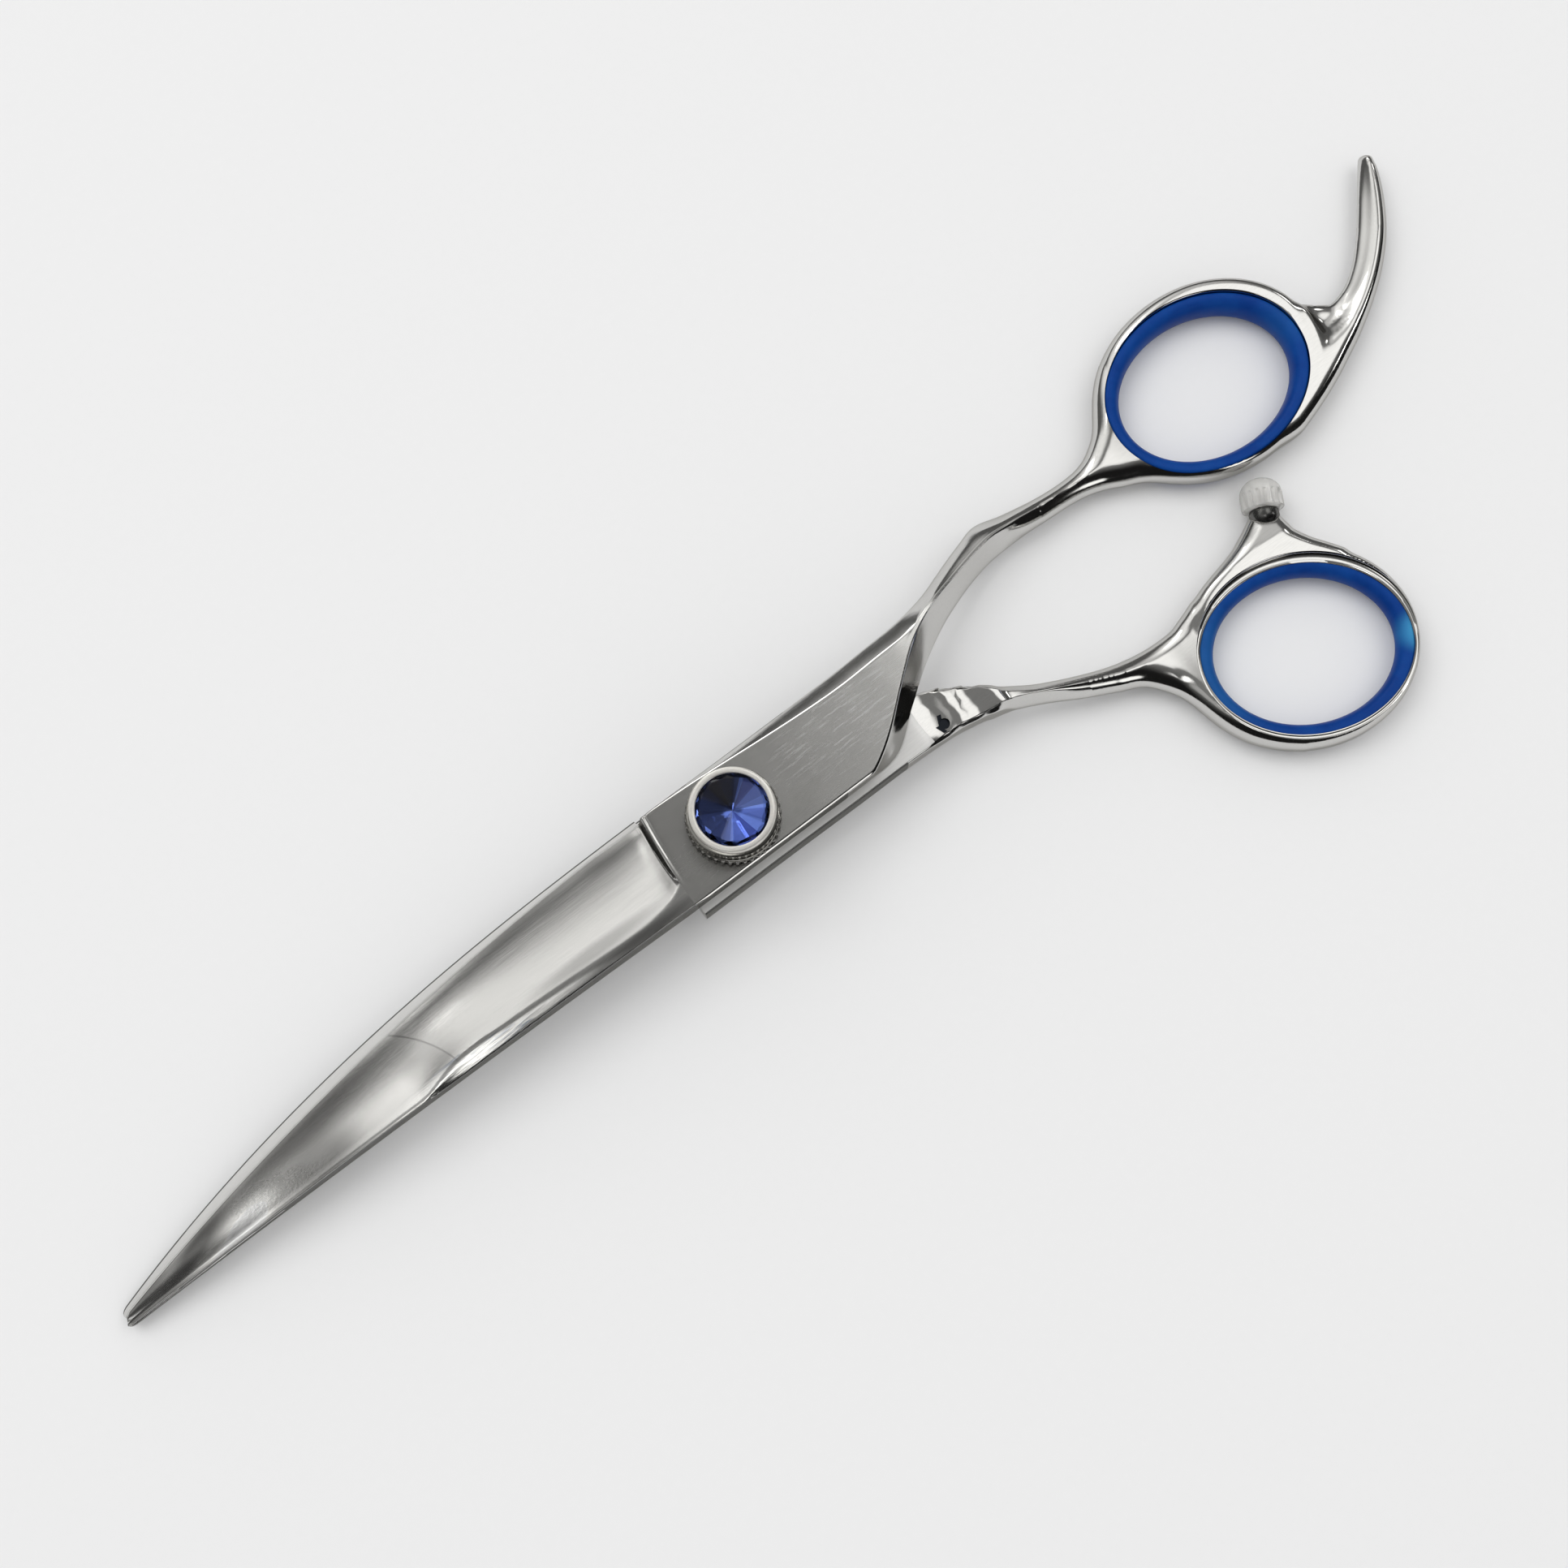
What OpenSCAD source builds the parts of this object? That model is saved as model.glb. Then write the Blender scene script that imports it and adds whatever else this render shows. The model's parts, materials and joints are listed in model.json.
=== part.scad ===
// Hair cutting shears with offset handles, curved blades and a jewelled tension dial.
// Millimetres. +X runs from the pivot to the handles, +Y to the finger ring, +Z up the
// pivot axis. The origin is on the pivot axis, at the flat underside of the pivot post.

/* [Blades] */
// Distance from the pivot axis to the blade tips
blade_reach = 86.4; // [70:0.2:100]
// Distance from the pivot axis to the shoulder where the hollow grind starts
shoulder_reach = 8.6; // [8:0.1:10]
// Thickness of each blade along its ridge, at the shoulder
ridge_t = 2.5; // [2:0.1:3]
// Thickness of each blade along its spine, at the shoulder
spine_t = 1.9; // [1.5:0.1:2.4]
// Thickness of the spine at the tip
tip_t = 1.05; // [0.8:0.05:1.4]
// Thickness of the metal behind the cutting edge
edge_t = 0.3; // [0.2:0.05:0.5]
// Depth of the hollow grind below a straight face
hollow_depth = 0.2; // [0:0.05:0.35]
// Radius of the curve that takes the blades down out of their plane
bend_radius = 400; // [300:10:900]
// Distance from the pivot axis at which that curve starts
bend_start = 20; // [16:1:30]

/* [Tangs] */
// Thickness of each half at the pivot
tang_t = 3.2; // [2.8:0.1:3.6]
// Running gap between the two halves
ride_gap = 0.1; // [0.06:0.02:0.2]
// Small corner cut along the edges of the tangs
tang_corner = 0.5; // [0.3:0.1:0.8]
// Width of the bevel along the finger side of the upper tang
bevel_w = 1.6; // [0.6:0.1:2.2]

/* [Rings] */
// Thickness of both rings
ring_t = 4.8; // [4:0.1:5.6]
// Mean width of the steel rim around each hole
rim_w = 1.5; // [1.2:0.1:2.2]
// Height of the middle of both rings above the pivot post's underside
ring_level = 0; // [-1:0.1:1]
// Half length of the finger ring's hole
finger_hole_a = 13.3; // [12:0.1:14]
// Half width of the finger ring's hole
finger_hole_b = 10.7; // [10:0.1:11.5]
// Half length of the thumb ring's hole
thumb_hole_a = 12.9; // [12:0.1:14]
// Half width of the thumb ring's hole
thumb_hole_b = 10.9; // [10:0.1:11.5]
// Turn of the finger ring's long axis
finger_ring_turn = -1; // [-8:1:4]
// Turn of the thumb ring's long axis
thumb_ring_turn = -22; // [-28:1:-16]

/* [Inserts] */
// Wall of the soft insert in each ring
insert_wall = 1.9; // [1.4:0.1:2.4]
// How far each insert stops short of the ring's faces
insert_recess = 0.35; // [0.1:0.05:0.8]
// Fit between an insert and its ring
insert_fit = 0.05; // [0.02:0.01:0.1]

/* [Finger rest] */
// Thickness of the finger rest at its root
rest_t = 4.2; // [3.4:0.1:4.8]
// Thickness of the finger rest at its tip
rest_tip_t = 2.4; // [1.8:0.1:3]

/* [Bumper] */
// Diameter of the soft cap
cap_d = 5.1; // [4.4:0.1:5.6]
// Height of the cap's ribbed collar
cap_collar_h = 2; // [1.6:0.1:2.4]
// Number of ribs round the collar
cap_ribs = 16; // [12:1:20]
// Diameter of the stud's neck
stud_neck_d = 3.6; // [3.2:0.1:4]
// Height of the stud's neck
stud_neck_h = 1.3; // [1:0.1:1.5]
// Diameter of the stud's thread and stem
stud_d = 1.8; // [1.6:0.1:2]
// Length of the thread in the lug
stud_thread_l = 2.6; // [2:0.1:2.8]

/* [Pivot] */
// Diameter of the post where the halves turn on it
post_d = 5; // [4.6:0.1:5.2]
// Diameter of the post's thread under the dial
thread_d = 4; // [3.6:0.1:4.2]
// Diameter of the post's flat head
head_d = 9; // [8.8:0.1:9.6]
// Thickness of the post's head
head_t = 0.8; // [0.6:0.1:1]
// Thickness of the washer under the lower half
head_washer_t = 0.4; // [0.3:0.1:0.6]
// Diameter of the key pin that stops the post turning
key_d = 1.2; // [1:0.1:1.3]
// Wall of the bearing bushing
bushing_wall = 0.8; // [0.6:0.1:1]
// Thickness of the bushing's flange
flange_t = 0.4; // [0.3:0.1:0.6]
// Thickness of the low friction washer between the halves
ride_washer_t = 0.5; // [0.4:0.1:0.8]
// Diameter of the low friction washer
ride_washer_d = 9.6; // [9.4:0.1:10.2]
// Radial running fit on the post
run_fit = 0.02; // [0.01:0.01:0.04]

/* [Dial] */
// Outside diameter of the notched click plate
plate_d = 10.9; // [10.6:0.1:11.4]
// Thickness of the click plate
plate_t = 0.9; // [0.7:0.1:1.2]
// Number of notches round the click plate
plate_notches = 40; // [30:1:48]
// Outside diameter of the tension dial
dial_d = 10.5; // [10.4:0.1:11]
// Height of the tension dial
dial_h = 2.5; // [2.4:0.1:2.8]
// Gap between the click plate and the dial
dial_gap = 0.2; // [0.15:0.05:0.3]
// Number of ridges round the dial
dial_ridges = 44; // [36:1:52]
// Depth of the ridges and notches
ridge_depth = 0.25; // [0.15:0.05:0.3]
// Outside diameter of the threaded brass insert in the dial
dial_nut_d = 6.2; // [6:0.1:6.4]
// Diameter of the click ball
ball_d = 1.1; // [1:0.1:1.2]
// Height of the wave spring
wave_h = 0.5; // [0.45:0.05:0.6]

/* [Jewel] */
// Outside diameter of the bezel
bezel_d = 9.7; // [9.5:0.1:9.9]
// Height of the bezel above the dial
bezel_h = 1; // [0.8:0.1:1.2]
// Wall of the bezel round the cut crystal
bezel_wall = 0.7; // [0.6:0.05:0.9]
// Height of the crystal's point above its girdle
crown_h = 0.9; // [0.6:0.1:1.1]
// Depth of the crystal's back below its girdle
pavilion_h = 0.8; // [0.6:0.1:0.9]
// Number of facets round the crystal
jewel_facets = 16; // [14:2:20]

/* [Hidden] */
$fn = 64;

// Heights of the pivot stack
tang_lo = head_t + head_washer_t;
ride_lo = tang_lo + tang_t;
ride_hi = ride_lo + ride_gap;
tang_hi = ride_hi + tang_t;
plate_lo = tang_hi + flange_t;
plate_hi = plate_lo + plate_t;
dial_lo = plate_hi + dial_gap;
dial_hi = dial_lo + dial_h;

// Plan of the rings
finger_ring_c = [78.4, 9.3];
thumb_ring_c = [66.5, -23.3];
// How far each ring's outside lies off the middle of its hole
finger_rim_shift = [0.7, 0.5];
thumb_rim_shift = [-0.2, 0.5];

// Cut through a part, past its faces
past = 1;
// Smallest clearance between pieces that are fitted together
fit = 0.03;

// ---- Shared geometry ----

// Fall of the riding surface below its level at the pivot, at a distance r from the axis
function drop(r) = pow(max(0, r - bend_start), 2) / (2 * bend_radius);

// Value at x on a smooth curve through [x, value ...] rows, column c
function slope_at(rows, i, c) =
    i == 0 ? (rows[1][c] - rows[0][c]) / (rows[1][0] - rows[0][0]) :
    i == len(rows) - 1 ? (rows[i][c] - rows[i - 1][c]) / (rows[i][0] - rows[i - 1][0]) :
    (rows[i + 1][c] - rows[i - 1][c]) / (rows[i + 1][0] - rows[i - 1][0]);
function span_of(rows, x, i = 0) =
    i >= len(rows) - 2 || x < rows[i + 1][0] ? i : span_of(rows, x, i + 1);
function curve(rows, x, c) =
    let (i = span_of(rows, x), h = rows[i + 1][0] - rows[i][0], t = (x - rows[i][0]) / h)
    let (m0 = slope_at(rows, i, c) * h, m1 = slope_at(rows, i + 1, c) * h)
    (2 * t^3 - 3 * t^2 + 1) * rows[i][c] + (t^3 - 2 * t^2 + t) * m0
    + (3 * t^2 - 2 * t^3) * rows[i + 1][c] + (t^3 - t^2) * m1;

// Twelve points of a bar's section: a box with its corners cut, and a bevel if asked
function bar_section(x, y_lo, y_hi, z_lo, z_hi, corner, bevel = 0) =
    let (w = y_hi - y_lo, c = min(corner, 0.3 * w, 0.3 * (z_hi - z_lo)))
    let (top_end = y_hi - c - bevel, y_third = (w - 2 * c) / 3)
    [
        [x, y_lo + c, z_lo], [x, y_lo + c + y_third, z_lo],
        [x, y_hi - c - y_third, z_lo], [x, y_hi - c, z_lo],
        [x, y_hi, z_lo + c], [x, y_hi, z_hi - c - bevel * 0.5],
        [x, top_end, z_hi], [x, top_end - (top_end - y_lo - c) / 3, z_hi],
        [x, y_lo + c + (top_end - y_lo - c) / 3, z_hi], [x, y_lo + c, z_hi],
        [x, y_lo, z_hi - c], [x, y_lo, z_lo + c]
    ];

// Twelve points of a blade's section. side is 1 for the upper blade and -1 for the lower;
// edge and spine are measured to the cutting side, and s runs from 0 at the shoulder to 1
function blade_section(x, edge, spine, ridge, s, side) =
    let (w = edge - spine, ridge_h = ridge_t + (tip_t - ridge_t) * s)
    let (spine_h = spine_t + (tip_t - spine_t) * s - 0.1, g = ride_gap / 2)
    let (rise = ridge_h - edge_t, run = edge - ridge)
    let (shape = [
        [spine + 0.15 * w * 0.2, 0], [spine + w / 3, 0], [spine + 2 * w / 3, 0],
        [edge - edge_t / 2, 0], [edge, edge_t / 2], [edge - edge_t / 2, edge_t],
        [edge - run * 0.33, edge_t + rise * 0.33 - hollow_depth],
        [edge - run * 0.67, edge_t + rise * 0.67 - hollow_depth],
        [ridge, ridge_h], [spine + 0.1 * w, spine_h], [spine, spine_h * 0.8],
        [spine, spine_h * 0.25]
    ])
    [for (p = shape) let (y = side * p[0])
        [x, y, ride_lo + g - drop(norm([x, y])) + side * (g + p[1])]];

// Closed skin over a row of sections that all have the same number of points
module skin(rows, loop = false) {
    n = len(rows[0]);
    m = len(rows);
    last = loop ? m - 1 : m - 2;
    sides = [for (j = [0:last], i = [0:n - 1]) let (k = (j + 1) % m, h = (i + 1) % n)
        each [[j * n + i, k * n + i, k * n + h], [j * n + i, k * n + h, j * n + h]]];
    caps = loop ? [] : [
        [for (i = [0:n - 1]) i],
        [for (i = [0:n - 1]) (m - 1) * n + n - 1 - i]
    ];
    polyhedron([for (r = rows) each r], concat(sides, caps), convexity = 10);
}

// Ring with a D shaped section, its inner wall just inside the hole that trims it
ring_steps = 40;
function ring_rows(a, b, shift) = [for (k = [0:ring_steps - 1])
    let (f = -k * 360 / ring_steps, u = [cos(f), sin(f)], i = [a * u[0], b * u[1]])
    let (o = [(a + rim_w) * u[0], (b + rim_w) * u[1]] + shift)
    [for (p = [[-0.3, -0.5], [0.35, -0.5], [0.8, -0.36], [1, -0.13],
               [1, 0.13], [0.8, 0.36], [0.35, 0.5], [-0.3, 0.5]])
        [i[0] + (o[0] - i[0]) * p[0], i[1] + (o[1] - i[1]) * p[0], p[1] * ring_t]]];

module at_ring(c, turn) {
    translate([c[0], c[1], ring_level]) rotate(turn) children();
}

module oval_hole(a, b) {
    scale([a, b, 1]) cylinder(r = 1, h = ring_t + 2 * past, center = true, $fn = 96);
}

// Disc with ridges round it, drawn flat
function ridge_points(d, count, depth) = [for (k = [0:2 * count - 1])
    let (r = d / 2 - (k % 2) * depth, f = k * 180 / count) [r * cos(f), r * sin(f)]];

// ---- Blades and handles ----

// Share of the way from the shoulder to the tip
function share(x) = (-x - shoulder_reach) / (blade_reach - shoulder_reach);

// Plan of the upper blade: cutting edge, spine and the ridge between its two ground faces
function finger_edge(s) = 6.8 - 1.5 * s - 7.7 * pow(s, 2.1);
function finger_spine(s) = -5.4 + 1.4 * s;
function finger_ridge(s) = finger_spine(s) + 1.9 + 0.9 * sin(min(1, 2 * s) * 180) - 1.6 * s;

// Plan of the lower blade, measured to its own cutting side
function thumb_edge(s) = 4.7 - 1.4 * s;
function thumb_spine(s) = -7.25 + 0.8 * s + 8.2 * pow(s, 2.6);
function thumb_ridge(s) = thumb_spine(s) + 1.9 - 1.6 * s;

blade_steps = [1, 0.985, 0.95, 0.9, 0.84, 0.77, 0.7, 0.62, 0.54, 0.46, 0.38, 0.3, 0.22,
               0.14, 0.07, 0.02];
function blade_x(s) = -shoulder_reach - (blade_reach - shoulder_reach) * s;

// Tang and shank of the finger half: x, y low, y high, z low, z high, corner
finger_shank = [
    [-shoulder_reach + 0.3, -5.4, 6.5, ride_hi, tang_hi, tang_corner],
    [4, -5.4, 6.6, ride_hi, tang_hi, tang_corner],
    [15.5, -5.4, 6.8, ride_hi, tang_hi, tang_corner],
    [20, -3.9, 6.9, ride_hi, tang_hi, 0.8],
    [24.5, -1.5, 7.1, ride_hi, tang_hi, 1.1],
    [28.5, 1.1, 7.3, ride_hi, tang_hi - 0.1, 1.2],
    [33, 3.7, 8.1, 2.7, 7.1, 1.4],
    [38, 5.8, 9.9, 0.9, 5.7, 1.4],
    [41.5, 6.9, 11.1, -0.1, 4.8, 1.4],
    [44.4, 7.5, 11.9, -0.8, 4.1, 1.4],
    [48, 7.7, 11.3, -1.4, 3.3, 1.4],
    [53, 7.6, 10.6, -1.9, 2.5, 1.1],
    [57.5, 7.3, 10.4, -2.1, 2.2, 1.1],
    [60.5, 6.4, 10.9, -2.1, 2.1, 1.2],
    [63, 5, 12.3, -2.1, 2.1, 1.2],
    [66, 3, 14.7, -2.1, 2.1, 1.2],
    [70, 0.6, 18, -2, 2, 1.2]
];

// Tang and shank of the thumb half, in the same columns
thumb_shank = [
    [-shoulder_reach + 0.3, -6.4, 7, tang_lo, ride_lo, tang_corner],
    [4, -6.4, 7, tang_lo, ride_lo, tang_corner],
    [12, -6.45, 6.6, tang_lo, ride_lo, tang_corner],
    [16, -6.45, 5.1, tang_lo, ride_lo, tang_corner],
    [20, -6.45, 3.3, tang_lo, ride_lo, 0.7],
    [26.5, -6.7, -0.4, tang_lo - 0.1, ride_lo + 0.1, 0.9],
    [29.4, -7.1, -2, 0.9, ride_lo + 0.3, 1.1],
    [33.5, -8.1, -4.6, 0.2, ride_lo + 0.2, 1.2],
    [37.6, -9.8, -7.2, -0.6, 3.8, 1.2],
    [41.8, -12.1, -9.1, -1.2, 3.2, 1.2],
    [46, -14.1, -10.7, -1.7, 2.7, 1.2],
    [49.2, -15.8, -11.5, -2, 2.3, 1.2],
    [52, -20, -11.9, -2.1, 2.1, 1.2],
    [55, -27, -12, -2.1, 2.1, 1.2],
    [58, -31, -12, -2, 2, 1.2]
];
bar_step = 2;

function bar_rows(rows, bevel) = let (x0 = rows[0][0], x1 = rows[len(rows) - 1][0])
    let (n = ceil((x1 - x0) / bar_step))
    [for (k = [0:n]) let (x = x0 + (x1 - x0) * k / n)
        bar_section(x, curve(rows, x, 1), curve(rows, x, 2), curve(rows, x, 3),
                    curve(rows, x, 4), curve(rows, x, 5),
                    bevel * max(0, min(1, (x + shoulder_reach) / 30)) * (x < 30 ? 1 : 0))];

// The cut corners of a row drawn on the lower half are turned round with it
function turned(rows) = [for (r = rows) [for (i = [0:11]) r[(i + 6) % 12]]];

finger_blade_rows = [for (s = blade_steps) blade_section(
    blade_x(s), finger_edge(s), finger_spine(s),
    min(finger_ridge(s), finger_edge(s) - 0.4), s, 1)];
thumb_blade_rows = [for (s = blade_steps) blade_section(
    blade_x(s), thumb_edge(s), thumb_spine(s),
    min(thumb_ridge(s), thumb_edge(s) - 0.4), s, -1)];

// Finger rest: x, y, width, thickness along its centre line
rest_rows = [
    [84, 1.2, 6, 1], [89, 3.7, 8.4, 1], [93.5, 5.5, 8.2, 1], [97.3, 5.8, 5.4, 1],
    [101, 7.2, 4.1, 0.95], [104.4, 9.4, 3.8, 0.9], [107.7, 12.4, 3.8, 0.85],
    [110.4, 15.6, 3.5, 0.75], [112.6, 18.6, 2.8, 0.65], [113.8, 20.4, 2, 0.5],
    [114.2, 21.1, 0.9, 0.25]
];
function rest_path() = [for (i = [0:len(rest_rows) - 1])
    let (a = rest_rows[max(0, i - 1)], b = rest_rows[min(len(rest_rows) - 1, i + 1)])
    let (run = [b[0] - a[0], b[1] - a[1]], d = run / norm(run), p = rest_rows[i])
    let (h = (rest_tip_t + (rest_t - rest_tip_t) * p[3]) / 2 * min(1, p[2] / 2))
    [for (f = [0:36:324])
        [p[0] - d[1] * p[2] / 2 * cos(f), p[1] + d[0] * p[2] / 2 * cos(f),
         ring_level + h * sin(f)]]];

// Bumper: the lug's flat end, and the direction that the stud points in
bumper_seat = [73.2, -8.2];
bumper_turn = 60;
bumper_level = ring_level + 0.3;
lug_t = 3.6;
lug_side = (stud_neck_d / 2 + 0.05) * [-sin(bumper_turn), cos(bumper_turn)];

module at_bumper() {
    translate([bumper_seat[0], bumper_seat[1], bumper_level]) rotate(bumper_turn)
        rotate([0, 90, 0]) children();
}

module finger_half() {
    color("#b9b8b4") difference() {
        union() {
            skin(concat(finger_blade_rows, bar_rows(finger_shank, bevel_w)));
            at_ring(finger_ring_c, finger_ring_turn)
                skin(ring_rows(finger_hole_a, finger_hole_b, finger_rim_shift), true);
            skin(rest_path());
        }
        at_ring(finger_ring_c, finger_ring_turn) oval_hole(finger_hole_a, finger_hole_b);
        translate([0, 0, ride_lo]) cylinder(d = post_d + 2 * bushing_wall + 2 * fit,
                                            h = tang_t + 2 * past);
        translate([0, 0, ride_lo - past]) cylinder(d = ride_washer_d + 2 * fit,
                                                   h = past + ride_washer_t + fit);
    }
}

module thumb_half() {
    color("#b9b8b4") difference() {
        union() {
            skin(concat(turned(thumb_blade_rows), bar_rows(thumb_shank, 0)));
            at_ring(thumb_ring_c, thumb_ring_turn)
                skin(ring_rows(thumb_hole_a, thumb_hole_b, thumb_rim_shift), true);
            translate([0, 0, bumper_level - lug_t / 2]) linear_extrude(lug_t) polygon([
                [57, -12.8], [59.1, -11.8], [61.7, -10.6], [64.9, -9.3], [68.1, -7.9],
                bumper_seat + lug_side, bumper_seat - lug_side, [74.8, -11], [75.9, -13.5],
                [77.5, -16.7], [76.4, -18], [72, -13.5], [66, -11.5]
            ]);
        }
        at_ring(thumb_ring_c, thumb_ring_turn) oval_hole(thumb_hole_a, thumb_hole_b);
        translate([16, -20, ride_lo]) cube([17, 30, 5]);
        translate([0, 0, tang_lo - past]) cylinder(d = post_d + 2 * fit, h = tang_t + 2 * past);
        translate([key_x, 0, tang_lo - past])
            cylinder(d = key_d + 2 * fit, h = past + key_depth + fit);
        translate([dimple_c[0], dimple_c[1], ride_lo - dimple_depth])
            cylinder(d = dimple_d, h = past + dimple_depth);
        at_bumper() translate([0, 0, -stud_thread_l - fit])
            cylinder(d = stud_d + 2 * fit, h = stud_thread_l + past);
    }
}
// Small round test dimple on the riding face, past the end of the upper tang
dimple_c = [26.4, -5.2];
dimple_d = 1.3;
dimple_depth = 0.3;

// ---- Soft pieces ----

module insert_ring(a, b) {
    wall = insert_wall;
    t = ring_t - 2 * insert_recess;
    rows = [for (k = [0:47]) let (f = -k * 7.5, u = [cos(f), sin(f)])
        [for (p = [[0.45, -0.5], [0, -0.5], [0, 0.5], [0.45, 0.5], [0.8, 0.38], [1, 0.14],
                   [1, -0.14], [0.8, -0.38]])
            [(a - insert_fit - wall * p[0]) * u[0], (b - insert_fit - wall * p[0]) * u[1],
             p[1] * t]]];
    skin(rows, true);
}

module finger_insert() {
    color("#0c4096") at_ring(finger_ring_c, finger_ring_turn)
        insert_ring(finger_hole_a, finger_hole_b);
}

module thumb_insert() {
    color("#0c4096") at_ring(thumb_ring_c, thumb_ring_turn)
        insert_ring(thumb_hole_a, thumb_hole_b);
}

// ---- Bumper ----

stem_short = 0.4;
stem_h = stud_neck_h + cap_collar_h - stem_short;
rib_depth = 0.2;

module bumper_stud() {
    color("#8f9090") at_bumper() union() {
        translate([0, 0, -stud_thread_l]) cylinder(d = stud_d, h = stud_thread_l + stem_h);
        cylinder(d = stud_neck_d, h = stud_neck_h);
    }
}

module bumper_cap() {
    color("#d9dcda") at_bumper() translate([0, 0, stud_neck_h]) difference() {
        union() {
            linear_extrude(cap_collar_h) polygon(ridge_points(cap_d, cap_ribs, rib_depth));
            translate([0, 0, cap_collar_h]) scale([1, 1, 0.8]) intersection() {
                sphere(d = cap_d - rib_depth / 2);
                cylinder(d = cap_d + past, h = cap_d);
            }
        }
        translate([0, 0, -past]) cylinder(d = stud_d + 2 * fit, h = past + stem_h
                                          - stud_neck_h + fit);
    }
}

// ---- Pivot ----

key_clear = 0.2;
key_x = (post_d + key_d) / 2 + key_clear;
key_depth = 1.6;
key_recess = 0.05;
spanner_d = 1.1;
spanner_web = 0.1;
washer_over = 0.6;
// The dial's nut, and the clip that holds it on the post's end
nut_depth = 0.9;
nut_top = dial_hi - nut_depth;
clip_t = 0.3;
clip_clear = 0.1;
clip_slot = 1.2;
clip_d = thread_d + 1;
groove_t = clip_t + clip_clear;
groove_d = thread_d - 0.8;
groove_z = nut_top + clip_clear;
post_top = groove_z + groove_t + 0.2;

module pivot_post() {
    color("#9c9c98") difference() {
        union() {
            cylinder(d = head_d, h = head_t);
            cylinder(d = post_d, h = plate_lo);
            cylinder(d = thread_d, h = post_top);
        }
        translate([0, 0, groove_z]) difference() {
            cylinder(d = thread_d + past, h = groove_t);
            cylinder(d = groove_d, h = groove_t);
        }
        translate([key_x, 0, -past]) cylinder(d = key_d + 2 * fit, h = head_t + 2 * past);
        for (y = [-key_x, key_x])
            translate([0, y, -past]) cylinder(d = spanner_d, h = head_t + past - spanner_web);
    }
}

module post_key() {
    color("#8a8a86") translate([key_x, 0, key_recess])
        cylinder(d = key_d, h = tang_lo + key_depth - key_recess);
}

module post_washer() {
    color("#d8d6c8") translate([0, 0, head_t]) difference() {
        cylinder(d = head_d + washer_over, h = head_washer_t);
        translate([0, 0, -past]) cylinder(d = post_d + 2 * fit, h = head_washer_t + 2 * past);
        translate([key_x, 0, -past]) cylinder(d = key_d + 2 * fit, h = head_washer_t + 2 * past);
    }
}

module bearing_bushing() {
    color("#c2a25a") difference() {
        union() {
            translate([0, 0, ride_lo + ride_washer_t + fit])
                cylinder(d = post_d + 2 * bushing_wall, h = plate_lo - ride_lo - ride_washer_t - fit);
            translate([0, 0, tang_hi]) cylinder(d = head_d, h = flange_t);
        }
        translate([0, 0, ride_lo]) cylinder(d = post_d + 2 * run_fit, h = plate_lo);
    }
}

module ride_washer() {
    color("#e6e4da") translate([0, 0, ride_lo]) difference() {
        cylinder(d = ride_washer_d, h = ride_washer_t);
        translate([0, 0, -past]) cylinder(d = post_d + 2 * fit, h = ride_washer_t + 2 * past);
    }
}

// ---- Dial ----

ball_web = 0.35;
ball_x = dial_nut_d / 2 + ball_web + ball_d / 2;
ball_seat = 0.2;
ball_top = plate_hi - ball_seat + ball_d;
pocket_roof = 0.6;
pocket_top = dial_hi - pocket_roof;
wave_clear = 0.05;
wave_room = 0.2;
leaf_t = 0.15;
wire_d = 0.16;

module click_plate() {
    color("#77756f") difference() {
        translate([0, 0, plate_lo]) linear_extrude(plate_t)
            polygon(ridge_points(plate_d, plate_notches, ridge_depth));
        translate([0, 0, plate_lo - past]) cylinder(d = thread_d + 2 * fit, h = plate_t + 2 * past);
        translate([0, 0, plate_hi - ball_seat - fit]) difference() {
            cylinder(r = ball_x + ball_d / 2 + fit, h = past);
            translate([0, 0, -past]) cylinder(r = ball_x - ball_d / 2 - fit, h = 3 * past);
        }
    }
}

module wave_spring() {
    r_in = thread_d / 2 + 0.25;
    r_out = (dial_nut_d + wave_room) / 2;
    swing = (wave_h - leaf_t) / 2;
    rows = [for (k = [0:35]) let (f = -k * 10, z = plate_hi + wave_h / 2 + swing * sin(3 * f))
        [for (p = [[r_in, -0.5], [r_out, -0.5], [r_out, 0.5], [r_in, 0.5]])
            [p[0] * cos(f), p[0] * sin(f), z + p[1] * leaf_t]]];
    color("#b4b2aa") skin(rows, true);
}

module tension_dial() {
    color("#a9a69e") difference() {
        translate([0, 0, dial_lo]) linear_extrude(dial_h)
            polygon(ridge_points(dial_d, dial_ridges, ridge_depth));
        translate([0, 0, dial_lo - past]) cylinder(d = dial_nut_d + 2 * fit, h = dial_h + 2 * past);
        translate([0, 0, dial_lo - past])
            cylinder(d = dial_nut_d + 2 * wave_room,
                     h = past + plate_hi + wave_h + wave_clear - dial_lo);
        translate([ball_x, 0, dial_lo - past]) cylinder(d = ball_d + 2 * fit,
                                                       h = past + pocket_top - dial_lo);
        translate([0, 0, dial_hi - spigot_h - fit]) cylinder(d = spigot_d + 2 * fit, h = past);
    }
}

module dial_nut() {
    color("#c7a650") translate([0, 0, plate_hi + wave_h + fit]) difference() {
        cylinder(d = dial_nut_d, h = nut_top - plate_hi - wave_h - fit);
        translate([0, 0, -past]) cylinder(d = thread_d + 2 * run_fit, h = dial_h + 2 * past);
    }
}

module detent_ball() {
    color("#dcdcdc") translate([ball_x, 0, ball_top - ball_d / 2]) sphere(d = ball_d);
}

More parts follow.
